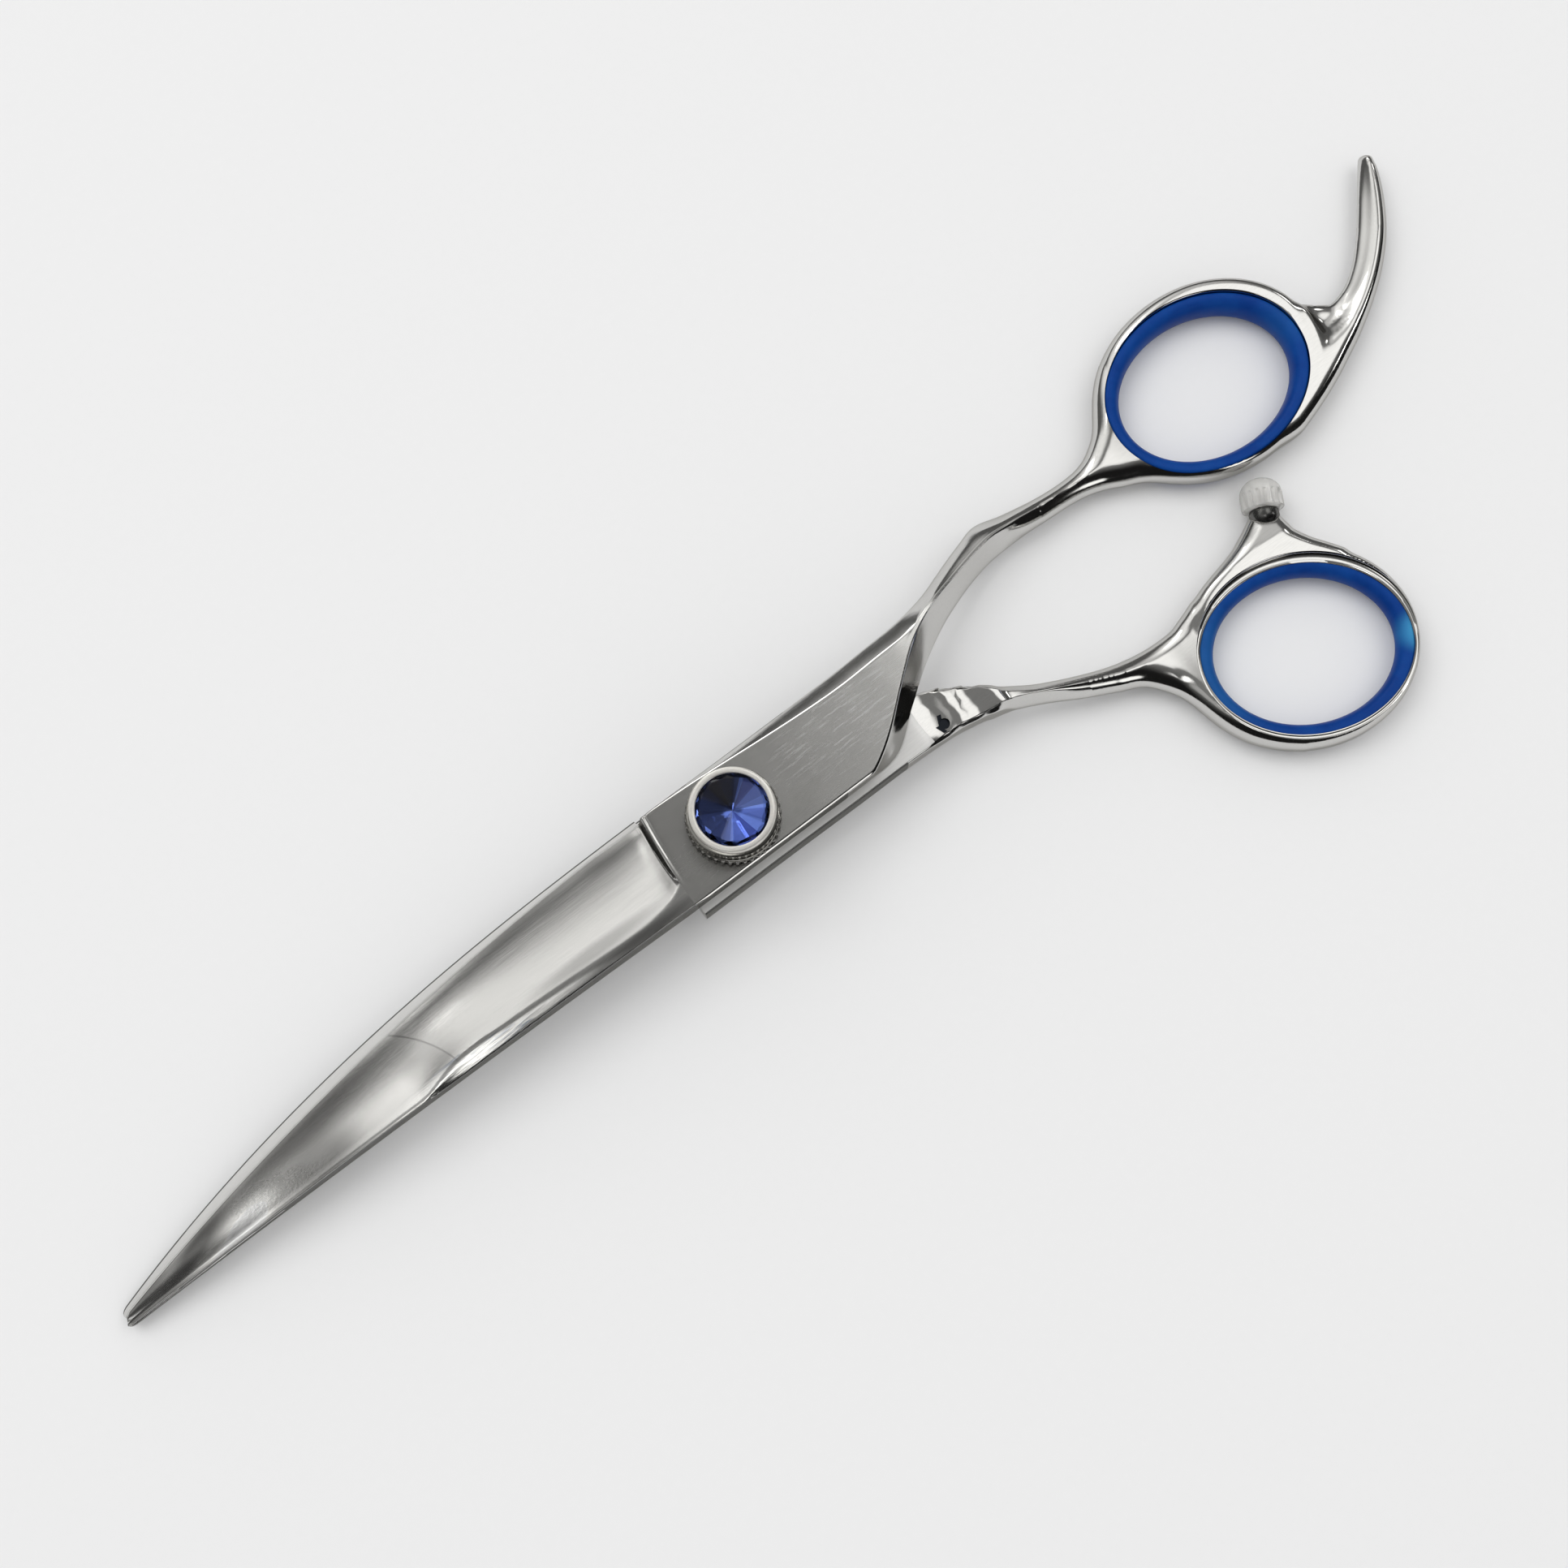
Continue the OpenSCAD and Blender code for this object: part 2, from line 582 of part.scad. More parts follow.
module detent_spring() {
    coil_r = ball_d / 2 - wire_d / 2 - fit;
    turns = 4;
    low = ball_top + wire_d / 2 + fit;
    rise = pocket_top - wire_d / 2 - fit - low;
    rows = [for (k = [0:turns * 12]) let (f = k * 30, z = low + rise * k / (turns * 12))
        [for (q = [0:5]) let (r = coil_r - wire_d / 2 * cos(60 * q))
            [ball_x + r * cos(f), r * sin(f), z + wire_d / 2 * sin(60 * q)]]];
    color("#c9c9c9") skin(rows);
}

module retaining_ring() {
    color("#6f6f6b") translate([0, 0, groove_z + clip_clear / 2]) difference() {
        cylinder(d = clip_d, h = clip_t);
        translate([0, 0, -past]) cylinder(d = groove_d + 2 * fit, h = 3 * past);
        translate([0, -clip_slot / 2, -past]) cube([clip_d, clip_slot, 3 * past]);
    }
}

// ---- Jewel ----

jewel_d = bezel_d - 2 * bezel_wall;
jewel_fit = 0.12;
spigot_d = bezel_d - 0.8;
spigot_h = 0.3;
foil_t = 0.08;
foil_gap = 0.1;
girdle_z = dial_hi + pavilion_h + foil_gap;
girdle_h = 0.1;
back_flat_d = 2.2;
back_clear = 0.15;
jewel_play = 0.05;
// The crown's ring of small facets: its radius and its height as shares of the crown
crown_share = 0.8;
crown_rise = 0.35;

module jewel_bezel() {
    color("#d6d2c8") difference() {
        union() {
            translate([0, 0, dial_hi]) cylinder(d = bezel_d, h = bezel_h);
            translate([0, 0, dial_hi - spigot_h]) cylinder(d = spigot_d, h = spigot_h);
        }
        translate([0, 0, dial_hi]) cylinder(d = jewel_d + 2 * jewel_fit, h = bezel_h + past);
        translate([0, 0, nut_top - past]) cylinder(d = clip_d + 2 * clip_clear,
                                                   h = past + dial_hi - foil_gap - nut_top);
    }
}

// Cup with straight sides that the crystal's back lies in
module jewel_foil() {
    color("#2a3a78") translate([0, 0, dial_hi]) difference() {
        cylinder(d1 = back_flat_d, d2 = jewel_d + 2 * foil_t, h = pavilion_h);
        translate([0, 0, foil_t])
            cylinder(d1 = back_flat_d, d2 = jewel_d + 2 * foil_t, h = pavilion_h);
    }
}

module jewel() {
    n = jewel_facets;
    r = jewel_d / 2 - jewel_play;
    function lap(rad, z, off) = [for (k = [0:n - 1]) let (f = (k + off) * 360 / n)
        [rad * cos(f), rad * sin(f), z]];
    top = girdle_z + girdle_h;
    points = concat([[0, 0, girdle_z - pavilion_h + back_clear]], lap(r, girdle_z, 0),
                    lap(r, top, 0), lap(r * crown_share, top + crown_h * crown_rise, 0.5),
                    [[0, 0, top + crown_h]]);
    tip = 3 * n + 1;
    faces = concat(
        [for (k = [0:n - 1]) [0, 1 + k, 1 + (k + 1) % n]],
        [for (k = [0:n - 1]) let (h = (k + 1) % n)
            each [[1 + k, 1 + n + k, 1 + n + h], [1 + k, 1 + n + h, 1 + h],
                  [1 + n + k, 1 + 2 * n + k, 1 + n + h],
                  [1 + n + h, 1 + 2 * n + k, 1 + 2 * n + h],
                  [1 + 2 * n + k, tip, 1 + 2 * n + h]]]
    );
    color("#2848a8") polyhedron(points, faces, convexity = 4);
}

finger_half();
thumb_half();
finger_insert();
thumb_insert();
bumper_stud();
bumper_cap();
pivot_post();
post_key();
post_washer();
bearing_bushing();
ride_washer();
click_plate();
wave_spring();
tension_dial();
dial_nut();
detent_ball();
detent_spring();
retaining_ring();
jewel_bezel();
jewel_foil();
jewel();
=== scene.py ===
"""Hair cutting shears: the finished pieces and the studio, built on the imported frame."""

import contextlib
import json
import math

import bpy
import numpy as np
from mathutils import Matrix, Vector

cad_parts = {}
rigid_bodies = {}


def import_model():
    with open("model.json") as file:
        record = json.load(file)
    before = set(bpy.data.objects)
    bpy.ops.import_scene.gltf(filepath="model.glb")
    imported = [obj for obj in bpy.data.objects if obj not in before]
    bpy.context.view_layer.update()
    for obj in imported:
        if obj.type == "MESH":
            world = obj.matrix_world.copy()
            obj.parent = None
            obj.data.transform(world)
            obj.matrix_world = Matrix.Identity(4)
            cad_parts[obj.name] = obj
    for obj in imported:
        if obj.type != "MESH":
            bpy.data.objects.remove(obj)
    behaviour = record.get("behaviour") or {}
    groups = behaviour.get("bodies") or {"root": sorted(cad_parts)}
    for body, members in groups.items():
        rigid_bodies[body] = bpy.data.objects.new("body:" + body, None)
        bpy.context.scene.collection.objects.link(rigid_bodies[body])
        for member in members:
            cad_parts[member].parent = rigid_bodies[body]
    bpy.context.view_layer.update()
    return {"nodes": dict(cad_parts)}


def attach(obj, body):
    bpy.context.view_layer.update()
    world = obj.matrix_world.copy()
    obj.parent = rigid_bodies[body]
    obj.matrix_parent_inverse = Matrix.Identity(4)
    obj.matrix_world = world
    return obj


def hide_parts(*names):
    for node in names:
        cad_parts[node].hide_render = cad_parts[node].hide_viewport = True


bl_info = {
    "name": "Hair cutting shears",
    "version": (1, 0, 0),
    "blender": (4, 5, 0),
    "location": "View3D > Sidebar > Shears",
    "description": "Builds polished shears with ring inserts, a tension dial and a bumper",
    "category": "Object",
}

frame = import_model()
MM = 0.001

# ---- Places and outlines, in millimetres ----

# Plan and level of both halves along X: x, y low, y high, z low, z high
FINGER_SHANK = [
    (-8.3, -5.4, 6.5, 4.5, 7.7), (4, -5.4, 6.6, 4.5, 7.7), (15.5, -5.4, 6.8, 4.5, 7.7),
    (20, -4.8, 6.9, 4.5, 7.7), (24.5, -1.6, 7.1, 4.5, 7.7), (28.5, 1.2, 7.3, 4.4, 7.6),
    (33, 3.7, 8.1, 2.7, 7.1), (38, 5.8, 9.9, 0.9, 5.7), (41.5, 6.9, 11.1, -0.1, 4.8),
    (44.4, 7.5, 11.9, -0.8, 4.1), (48, 7.7, 11.3, -1.4, 3.3), (53, 7.6, 10.6, -1.9, 2.5),
    (57.5, 7.3, 10.4, -2.1, 2.2), (60.5, 6.5, 10.9, -2.1, 2.1), (63, 5.3, 12.3, -2.1, 2.1),
    (66, 4, 14.7, -2.1, 2.1), (70, 2, 18, -2, 2),
]
THUMB_SHANK = [
    (-8.3, -6.4, 7, 1.2, 4.4), (4, -6.4, 7, 1.2, 4.4), (12, -6.45, 6.6, 1.2, 4.4),
    (16, -6.45, 5.1, 1.2, 4.4), (20, -6.45, 3.3, 1.2, 4.4), (26.5, -6.7, -0.4, 1.1, 4.5),
    (29.4, -7.1, -2, 0.9, 4.6), (33.5, -8.1, -4.6, 0.2, 4.5), (37.6, -9.8, -7.2, -0.6, 3.8),
    (41.8, -12.1, -9.1, -1.2, 3.2), (46, -14.1, -10.7, -1.7, 2.7),
    (49.2, -15.8, -11.5, -2, 2.3), (52, -20, -11.9, -2.1, 2.1), (55, -26.5, -12, -2.1, 2.1),
    (59, -31, -11.8, -2.1, 2.1),
]
# Finger rest: x, y, width, share of the root's thickness
REST_PATH = [
    (84, 1.2, 6, 1), (89, 3.7, 8.4, 1), (93.5, 5.5, 8.2, 1), (97.3, 5.8, 5.4, 1),
    (101, 7.2, 4.1, 0.95), (104.4, 9.4, 3.8, 0.9), (107.7, 12.4, 3.8, 0.85),
    (110.4, 15.6, 3.5, 0.75), (112.6, 18.6, 2.8, 0.65), (113.6, 20.2, 2.1, 0.5),
]
# Outline of the lug that carries the bumper on the thumb ring
LUG_OUTLINE = [
    (57, -12.8), (59.1, -11.9), (61.7, -10.9), (64.9, -9.75), (67.6, -8.7), (69.8, -7.75),
    (71.9, -6.75), (75.0, -8.6), (75.0, -11), (75.9, -13.5), (77.5, -16.7), (76.4, -18),
    (72, -13.5), (66, -11.5),
]
# Ridge between the upper blade's flat spine and its hollow grind: x, y
GRIND_RIDGE = [
    (-60, -5.2), (-50, -5.0), (-46.6, -4.7), (-39.9, -3.0), (-33.5, -3.2), (-25.7, -3.6),
    (-20.6, -3.9), (-15.3, -4.1), (-12.7, -3.8), (-10.6, -3.3), (-9.4, -2.8), (-8, -2.2),
]
# Lower edge of the upper tang's top face, which runs obliquely up to the shank: x, y
TANG_CREST = [
    (-9, -5.2), (14.8, -5.2), (16.2, -5.05), (20, -2.75), (24.5, 0.9), (28.5, 4.0),
    (32.8, 6.1), (38, 7.7), (44.4, 9.2), (48, 9.2), (54, 8.9),
]
# Folds in the top of the lower half's neck: x, rise
NECK_WAVE = [
    (20, 0), (23.6, 0), (25.2, -0.28), (26.6, -0.3), (28.2, 0.05), (30.2, -0.3),
    (32.2, -0.12), (33.6, 0.12), (34.3, -0.3), (36, -0.1), (40, 0),
]
# The shoulder: how far it lies off its mean place at y, and how its lip rises past it
SHOULDER_SHIFT = [(-5.4, -0.5), (-2.4, -0.42), (2, -0.1), (6.5, 0.5)]
SHOULDER_LIP = [(0, -0.16), (0.1, -0.04), (0.2, 0), (0.32, -0.03), (0.45, -0.09),
                (0.55, -0.09), (0.75, -0.02), (1, 0)]
SHOULDER_RUN, TIP_ROUND = 1.5, 0.9
# Where the ground, rubbed, dark (painted shade) and riding (painted sheen) faces end along X
GRIND_END, SATIN_END, UPPER_EDGE_END, LOWER_EDGE_END, RIDE_END = -9.2, 34, 12, 20, 24
# Each ring's hole: its centre and turn; how far the outside is shifted and trimmed from it
FINGER_RING = {"name": "finger", "centre": (78.4, 9.3), "turn": -1.0, "shift": (0.7, 0.45),
               "trim": (0, 0.3)}
THUMB_RING = {"name": "thumb", "centre": (66.5, -23.3), "turn": -22.0, "shift": (-0.4, 0.5),
              "trim": (0.3, 0)}
# Where the shanks end inside their rings, and where each half's bar is bridged to its ring
FINGER_SHANK_END, THUMB_SHANK_END = 69.5, 58.5
FINGER_SEAM, THUMB_SEAM = 52.0, 43.0
# Centre and radius of the fillet between the finger ring and its rest
FINGER_WEB = (94.0, 7.1, 2.3)
# Where the bumper's stud leaves its lug, and the way that it points in plan
BUMPER_SEAT = (73.2, -8.2, 0.3)
BUMPER_AHEAD = (math.cos(math.radians(60)), math.sin(math.radians(60)))
BUMPER_RIBS = 16
# Small pocket drilled into the lower half beside its riding face: x, y, diameter
POCKET = (26.4, -5.2, 1.3)
# Holes at the pivot, as low level, high level and diameter: for the bushing and the riding
# washer in the upper half, and for the post in the lower one
BUSHING_BORE, WASHER_RECESS, POST_BORE = (4.0, 8.4, 6.66), (4.0, 5.03, 9.66), (0.6, 5.0, 5.06)
# Height of the crystal's girdle, point and back
GIRDLE, CRYSTAL_POINT, CRYSTAL_BACK = 12.58, 13.6, 11.74
# Centre and radius of the arc where a painted reflection edge crosses the upper blade's face
PAINTED_REFLECTION_ARC = (-54.1, -6.6, 14.2)

# ---- Tones and light ----

# Painted shade and painted highlights on the grind, in place of its reflections: centre, turn,
# half length, half width, share, factor on the steel
GRIND_PAINTED_SHADING = (
    ((-27, 7.2), 4, 27, 3.6, 0.8, 0.25),
    ((-60, 1.8), 8, 18, 3.8, 0.7, 0.25),
    ((-69.5, -3.1), 15, 6, 2.5, 0.95, 2.0),
    ((-48, -2.8), -4, 8, 3.6, 0.8, 1.4),
    ((-59, -2.2), 3, 7, 4, 0.75, 0.35),
    ((-75.5, -1.5), 18, 8, 1.8, 0.9, 0.2),
    ((-83, -3.2), 6, 7, 4, 0.6, 0.3),
    ((-41, -4.3), 0, 10, 1.8, 0.9, 1.55),
    ((-21, -2.5), -1, 12, 1.3, 0.6, 0.4),
    ((-19, -4.9), 2, 17, 1.5, 0.9, 0.3),
    ((-13, 6.0), 0, 7, 2.4, 0.6, 0.45),
    ((-73, -4.3), 7, 8, 1.5, 0.9, 1.9),
    ((-84, -2.4), 14, 6, 2.2, 0.7, 0.5),
)
# Painted glows in the inserts, pale patches that stand in for light shining through: place, reach,
# share
INSERT_PAINTED_GLOWS = (
    ((78.4, -29.8, 1.2), 3.5, 0.7),
    ((56, -19, 1), 11, 0.12),
    ((92, 9.7, 1), 5, 0.06),
)
# Panels of the light tent: direction, angles where each is full and gone, strength
TENT_PANELS = (
    ((0.08, 0.83, 0.56), 9, 29, 1.0),
    ((-0.55, 0.45, 0.70), 6, 16, 0.3),
    ((-0.22, -0.11, 0.97), 4, 9, 1.9),
    ((0.47, 0.62, 0.63), 6, 20, 0.5),
    ((-0.43, 0.58, 0.69), 4, 9, 0.6),
    ((-0.24, 0.62, 0.74), 5, 11, 0.4),
    ((0.16, 0.88, 0.45), 3, 6, 5.0),
    ((0.78, -0.35, 0.52), 3, 5, 5.0),
    ((0.46, 0.15, 0.87), 8, 18, 1.2),
    ((-0.50, 0.10, 0.86), 5, 16, 0.3),
    ((0.26, 0.79, 0.55), 2, 4, 5.0),
    ((-0.20, 0.58, 0.79), 1, 3, 3.0),
    ((0.80, 0.25, 0.55), 2, 5, 4.0),
    ((0.12, -0.88, 0.46), 7, 13, 1.6),
)
# Lamps: name, place in metres, size in metres, power in watts
LAMPS = (
    ("key_lamp", (-0.35, 0.75, 1.5), 1.3, 9.2),
    ("fill_lamp", (0.8, -0.2, 1.5), 1.3, 4.4),
)
SURROUND, SURROUND_STRENGTH = (0.86, 0.86, 0.86, 1), 0.77
FLOOR_LEVEL, FLOOR_RADIUS, TENT_RADIUS = -2.4 * MM - 0.00002, 2.2, 1.6
# Camera: focal length and film width, point looked at in millimetres, distance in metres,
# lean in degrees and the direction that runs from left to right
LENS, FILM_WIDTH = 50.310559, 36
CAMERA_TARGET, CAMERA_DISTANCE, CAMERA_TILT = (7.4, 0.3, 4.45), 0.25, 13
CAMERA_RIGHT = (0.7944, -0.6074, 0)


# ---- Sizes and colours ----

def length(name, description, default):
    """A length property, given in millimetres and kept in metres."""
    return bpy.props.FloatProperty(name=name, description=description, default=default * MM,
                                   unit="LENGTH", subtype="DISTANCE", precision=5)


def colour(name, description, default):
    """A colour property, in linear light."""
    return bpy.props.FloatVectorProperty(name=name, description=description, default=default,
                                         size=3, subtype="COLOR", min=0.0, max=1.0)


class ShearsHalves(bpy.types.PropertyGroup):
    """Sizes of the two forged halves"""
    blade_reach: length("Blade reach", "From the pivot axis to the blade tips", 86.4)
    shoulder_reach: length("Shoulder reach", "From the pivot axis to the hollow grind", 8.75)
    tang: length("Tang thickness", "Thickness of each half at the pivot", 3.2)
    tip: length("Tip thickness", "Thickness of the spine at the tip", 1.05)
    edge: length("Edge thickness", "Thickness behind the cutting edge", 0.3)
    ride: length("Riding level", "Height of the upper half's riding face", 4.5)
    gap: length("Riding gap", "Running gap between the halves", 0.1)
    bend: length("Bend radius", "Radius that takes the blades out of their plane", 400)
    bend_start: length("Bend start", "Distance from the pivot where the bend starts", 20)
    bevel: length("Upper bevel", "Greatest width of the bevel along the upper tang", 1.9)
    hollow: bpy.props.FloatProperty(name="Hollow", description="Share of the grind's depth "
                                    "that is curved", default=0.26, min=0.0, max=0.6)


class ShearsRings(bpy.types.PropertyGroup):
    """Sizes of the finger ring and the thumb ring"""
    thickness: length("Ring thickness", "Thickness of both rings", 4.8)
    rim: length("Rim width", "Mean width of the steel round each hole", 1.5)
    finger_long: length("Finger hole half length", "Half length of the finger hole", 13.3)
    finger_short: length("Finger hole half width", "Half width of the finger hole", 10.7)
    thumb_long: length("Thumb hole half length", "Half length of the thumb hole", 12.9)
    thumb_short: length("Thumb hole half width", "Half width of the thumb hole", 10.9)
    rest: length("Rest thickness", "Thickness of the finger rest at its root", 4.2)
    rest_tip: length("Rest tip thickness", "Thickness of the finger rest at its tip", 2.4)


class ShearsSoft(bpy.types.PropertyGroup):
    """Sizes and colours of the inserts and the bumper"""
    wall: length("Insert wall", "Greatest wall of each soft insert", 1.9)
    finger_height: length("Finger insert height", "Height of the finger insert", 4.3)
    thumb_height: length("Thumb insert height", "Height of the thumb insert", 3.5)
    fit: length("Fit", "Gap between an insert and its ring", 0.05)
    cap: length("Bumper diameter", "Outside diameter of the bumper", 5.1)
    collar: length("Bumper collar", "Height of the bumper's ribbed collar", 2.0)
    insert_colour: colour("Insert colour", "Colour of the soft inserts", (0.001, 0.042, 0.25))
    cap_colour: colour("Bumper colour", "Tint of the clear bumper", (0.98, 0.97, 0.94))


class ShearsDial(bpy.types.PropertyGroup):
    """Sizes and colours of the tension dial and its crystal"""
    wheel: length("Dial diameter", "Outside diameter of the knurled wheel", 10.5)
    bezel: length("Bezel diameter", "Outside diameter of the bezel", 9.7)
    crystal: length("Crystal diameter", "Diameter of the cut crystal", 8.3)
    teeth: bpy.props.IntProperty(name="Teeth", description="Teeth round the wheel",
                                 default=44, min=20, max=60)
    facets: bpy.props.IntProperty(name="Facets", description="Facets round the crystal",
                                  default=16, min=8, max=24)
    crystal_colour: colour("Crystal colour", "Colour of the cut crystal", (0.02, 0.045, 0.34))


class ShearsStudio(bpy.types.PropertyGroup):
    """Steel colours, floor and light"""
    steel: colour("Steel", "Colour of the polished steel", (0.64, 0.635, 0.62))
    floor: colour("Floor", "Colour of the floor", (0.84, 0.84, 0.84))
    level: bpy.props.FloatProperty(name="Light level", description="Level of the soft light",
                                   default=1.0, min=0.1, max=4.0)


def in_mm(group, *names):
    """Sizes from a property group, in millimetres."""
    sizes = getattr(bpy.context.scene, "shears_" + group)
    return [getattr(sizes, name) / MM for name in names]


# ---- Shared shaping ----

def only(piece):
    """Selects one piece and makes it the active one."""
    bpy.ops.object.select_all(action="DESELECT")
    piece.select_set(True)
    bpy.context.view_layer.objects.active = piece


@contextlib.contextmanager
def editing(piece):
    """Edit mode on one piece, with all of it selected."""
    only(piece)
    bpy.ops.object.mode_set(mode="EDIT")
    bpy.ops.mesh.select_all(action="SELECT")
    yield
    bpy.ops.object.mode_set(mode="OBJECT")


def points_of(piece):
    """The vertices of a piece in millimetres."""
    flat = np.zeros(len(piece.data.vertices) * 3, np.float32)
    piece.data.vertices.foreach_get("co", flat)
    return flat.reshape(-1, 3).astype(float) / MM


def set_points(piece, points):
    """Moves the vertices of a piece, given in millimetres."""
    flat = (np.asarray(points, float) * MM).astype(np.float32).ravel()
    piece.data.vertices.foreach_set("co", flat)
    piece.data.update()


def pick(piece, where):
    """Goes into edit mode with the vertices that pass a test selected."""
    only(piece)
    bpy.ops.object.mode_set(mode="EDIT")
    bpy.ops.mesh.select_mode(type="VERT")
    bpy.ops.mesh.select_all(action="DESELECT")
    bpy.ops.object.mode_set(mode="OBJECT")
    for vertex in piece.data.vertices:
        vertex.select = where(vertex)
    bpy.ops.object.mode_set(mode="EDIT")


def tidy_mesh(piece, near=1e-8):
    """Merges doubles and turns the faces outwards."""
    with editing(piece):
        bpy.ops.mesh.remove_doubles(threshold=near)
        bpy.ops.mesh.normals_make_consistent(inside=False)


def cut_off(piece, place, normal, clear="inner", fill=True, near=1e-7):
    """Cuts a piece with a plane and clears what lies on one side of it."""
    with editing(piece):
        bpy.ops.mesh.bisect(plane_co=place, plane_no=normal, use_fill=fill, threshold=near,
                            **{"clear_" + clear: True})


def rod(sides, radius, depth, place, rotation=(0, 0, 0)):
    """A round rod of this radius and depth in millimetres, about a place in metres."""
    bpy.ops.object.select_all(action="DESELECT")
    bpy.ops.mesh.primitive_cylinder_add(vertices=sides, radius=radius * MM, depth=depth * MM,
                                        location=place, rotation=rotation)
    piece = bpy.context.active_object
    bpy.ops.object.transform_apply(location=True, rotation=True, scale=True)
    return piece


def wrap(name, rings, loop=False):
    """Wraps a grid round a row of rings that all have the same number of points."""
    rings = np.asarray(rings, float)
    if loop:
        rings = np.concatenate([rings, rings[:1]])
    else:
        first, last = rings[:1].mean(1, keepdims=True), rings[-1:].mean(1, keepdims=True)
        rings = np.concatenate([np.repeat(first, rings.shape[1], 1), rings,
                                np.repeat(last, rings.shape[1], 1)])
    rings = np.concatenate([rings, rings[:, :1]], axis=1)
    rows, columns = rings.shape[:2]
    bpy.ops.object.select_all(action="DESELECT")
    bpy.ops.mesh.primitive_grid_add(x_subdivisions=columns - 1, y_subdivisions=rows - 1, size=2)
    piece = bpy.context.active_object
    piece.name = piece.data.name = name
    flat = points_of(piece) * MM
    i = np.rint((flat[:, 0] + 1) / 2 * (columns - 1)).astype(int)
    j = np.rint((flat[:, 1] + 1) / 2 * (rows - 1)).astype(int)
    set_points(piece, rings[j, i])
    tidy_mesh(piece)
    return piece


def apply_modifier(piece, kind, **settings):
    """Adds a modifier with these settings and applies it."""
    only(piece)
    modifier = piece.modifiers.new(kind.title(), kind)
    for key, value in settings.items():
        setattr(modifier, key, value)
    bpy.ops.object.modifier_apply(modifier=modifier.name)


def cut_with(piece, tool):
    """Cuts a tool's shape out of a piece and puts the tool away."""
    apply_modifier(piece, "BOOLEAN", operation="DIFFERENCE", solver="EXACT", object=tool)
    bpy.data.objects.remove(tool)


def smooth(piece, angle=35):
    """Shades a piece smooth, with edges sharper than the angle kept crisp."""
    only(piece)
    bpy.ops.object.shade_smooth_by_angle(angle=math.radians(angle))


def smooth_half(piece, seam):
    """Shades a half smooth, with fewer crisp edges past the seam."""
    smooth(piece, 28)
    mesh = piece.data
    crisp = [edge.use_edge_sharp for edge in mesh.edges]
    smooth(piece, 62)
    for edge, sharp in zip(mesh.edges, crisp):
        if mesh.vertices[edge.vertices[0]].co.x / MM < seam - 1:
            edge.use_edge_sharp = sharp


def join(pieces, name):
    """Joins pieces into the first one."""
    only(pieces[0])
    for piece in pieces[1:]:
        piece.select_set(True)
    bpy.ops.object.join()
    pieces[0].name = pieces[0].data.name = name
    return pieces[0]


def hand_over(piece, body, slot, *nodes):
    """Puts a finished piece on its body in place of its nodes."""
    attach(piece, body)
    if nodes:
        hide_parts(*nodes)


def paint(piece, *materials):
    """Gives a piece its materials, in order."""
    piece.data.materials.clear()
    for material in materials:
        piece.data.materials.append(material)


def paint_faces(piece, index, where):
    """Gives the faces whose centre and normal, in millimetres, pass a test a material."""
    for face in piece.data.polygons:
        if where(face.center / MM, face.normal):
            face.material_index = index


def flow(rows, x, column=1):
    """Value at x on a smooth curve through the rows of a table."""
    table = np.array(rows, float)
    at, value = table[:, 0], table[:, column]
    slope = np.empty(len(at))
    slope[1:-1] = (value[2:] - value[:-2]) / (at[2:] - at[:-2])
    slope[0] = (value[1] - value[0]) / (at[1] - at[0])
    slope[-1] = (value[-1] - value[-2]) / (at[-1] - at[-2])
    x = np.clip(np.asarray(x, float), at[0], at[-1])
    i = np.clip(np.searchsorted(at, x, side="right") - 1, 0, len(at) - 2)
    run = at[i + 1] - at[i]
    t = (x - at[i]) / run
    return ((2 * t**3 - 3 * t**2 + 1) * value[i] + (t**3 - 2 * t**2 + t) * slope[i] * run
            + (3 * t**2 - 2 * t**3) * value[i + 1] + (t**3 - t**2) * slope[i + 1] * run)


def ease(t):
    """Smooth step from 0 to 1."""
    t = np.clip(t, 0.0, 1.0)
    return t * t * (3 - 2 * t)


def share_at(x, start, run):
    """Smooth step, as one number, from 0 at the start to 1 a run further on."""
    return float(ease((x - start) / run))


def rounded_section(corners, fills, bow=(0, 0.0)):
    """Closed outline through corners (u, h, radius), each rounded with five points, and
    with points in between; the stretch after one corner may be bowed inwards."""
    count = len(corners)
    corner = np.array([c[:2] for c in corners], float)
    starts, ends, arcs = [], [], []
    for k in range(count):
        here, before, after = corner[k], corner[k - 1], corner[(k + 1) % count]
        back, ahead = before - here, after - here
        reach = corners[k][2]
        a = here + back * min(0.45, reach / max(1e-6, np.hypot(*back)))
        b = here + ahead * min(0.45, reach / max(1e-6, np.hypot(*ahead)))
        t = np.linspace(0, 1, 5)[:, None]
        arcs.append((1 - t) ** 2 * a + 2 * t * (1 - t) * here + t**2 * b)
        starts.append(a)
        ends.append(b)
    outline = []
    for k in range(count):
        outline.append(arcs[k])
        if fills[k]:
            t = (np.arange(fills[k]) + 1)[:, None] / (fills[k] + 1)
            stretch = ends[k] * (1 - t) + starts[(k + 1) % count] * t
            if k == bow[0]:
                stretch = stretch - [0, 1] * (4 * t * (1 - t) * bow[1])
            outline.append(stretch)
    return np.concatenate(outline)


# ---- Fields that blend rings, shanks, rest and lug ----

def soft_max(a, b, k):
    """Greater of two fields, with the corner between them rounded."""
    h = np.maximum(k - np.abs(a - b), 0) / k
    return np.maximum(a, b) + h * h * k / 4


def soft_min(a, b, k):
    """Smaller of two fields, with the crease between them filled."""
    return -soft_max(-a, -b, k)


def oval_distance(x, y, a, b):
    """Distance to an ellipse, close enough near its edge."""
    k0 = np.hypot(x / a, y / b)
    k1 = np.hypot(x / a**2, y / b**2)
    return k0 * (k0 - 1) / np.maximum(k1, 1e-9)


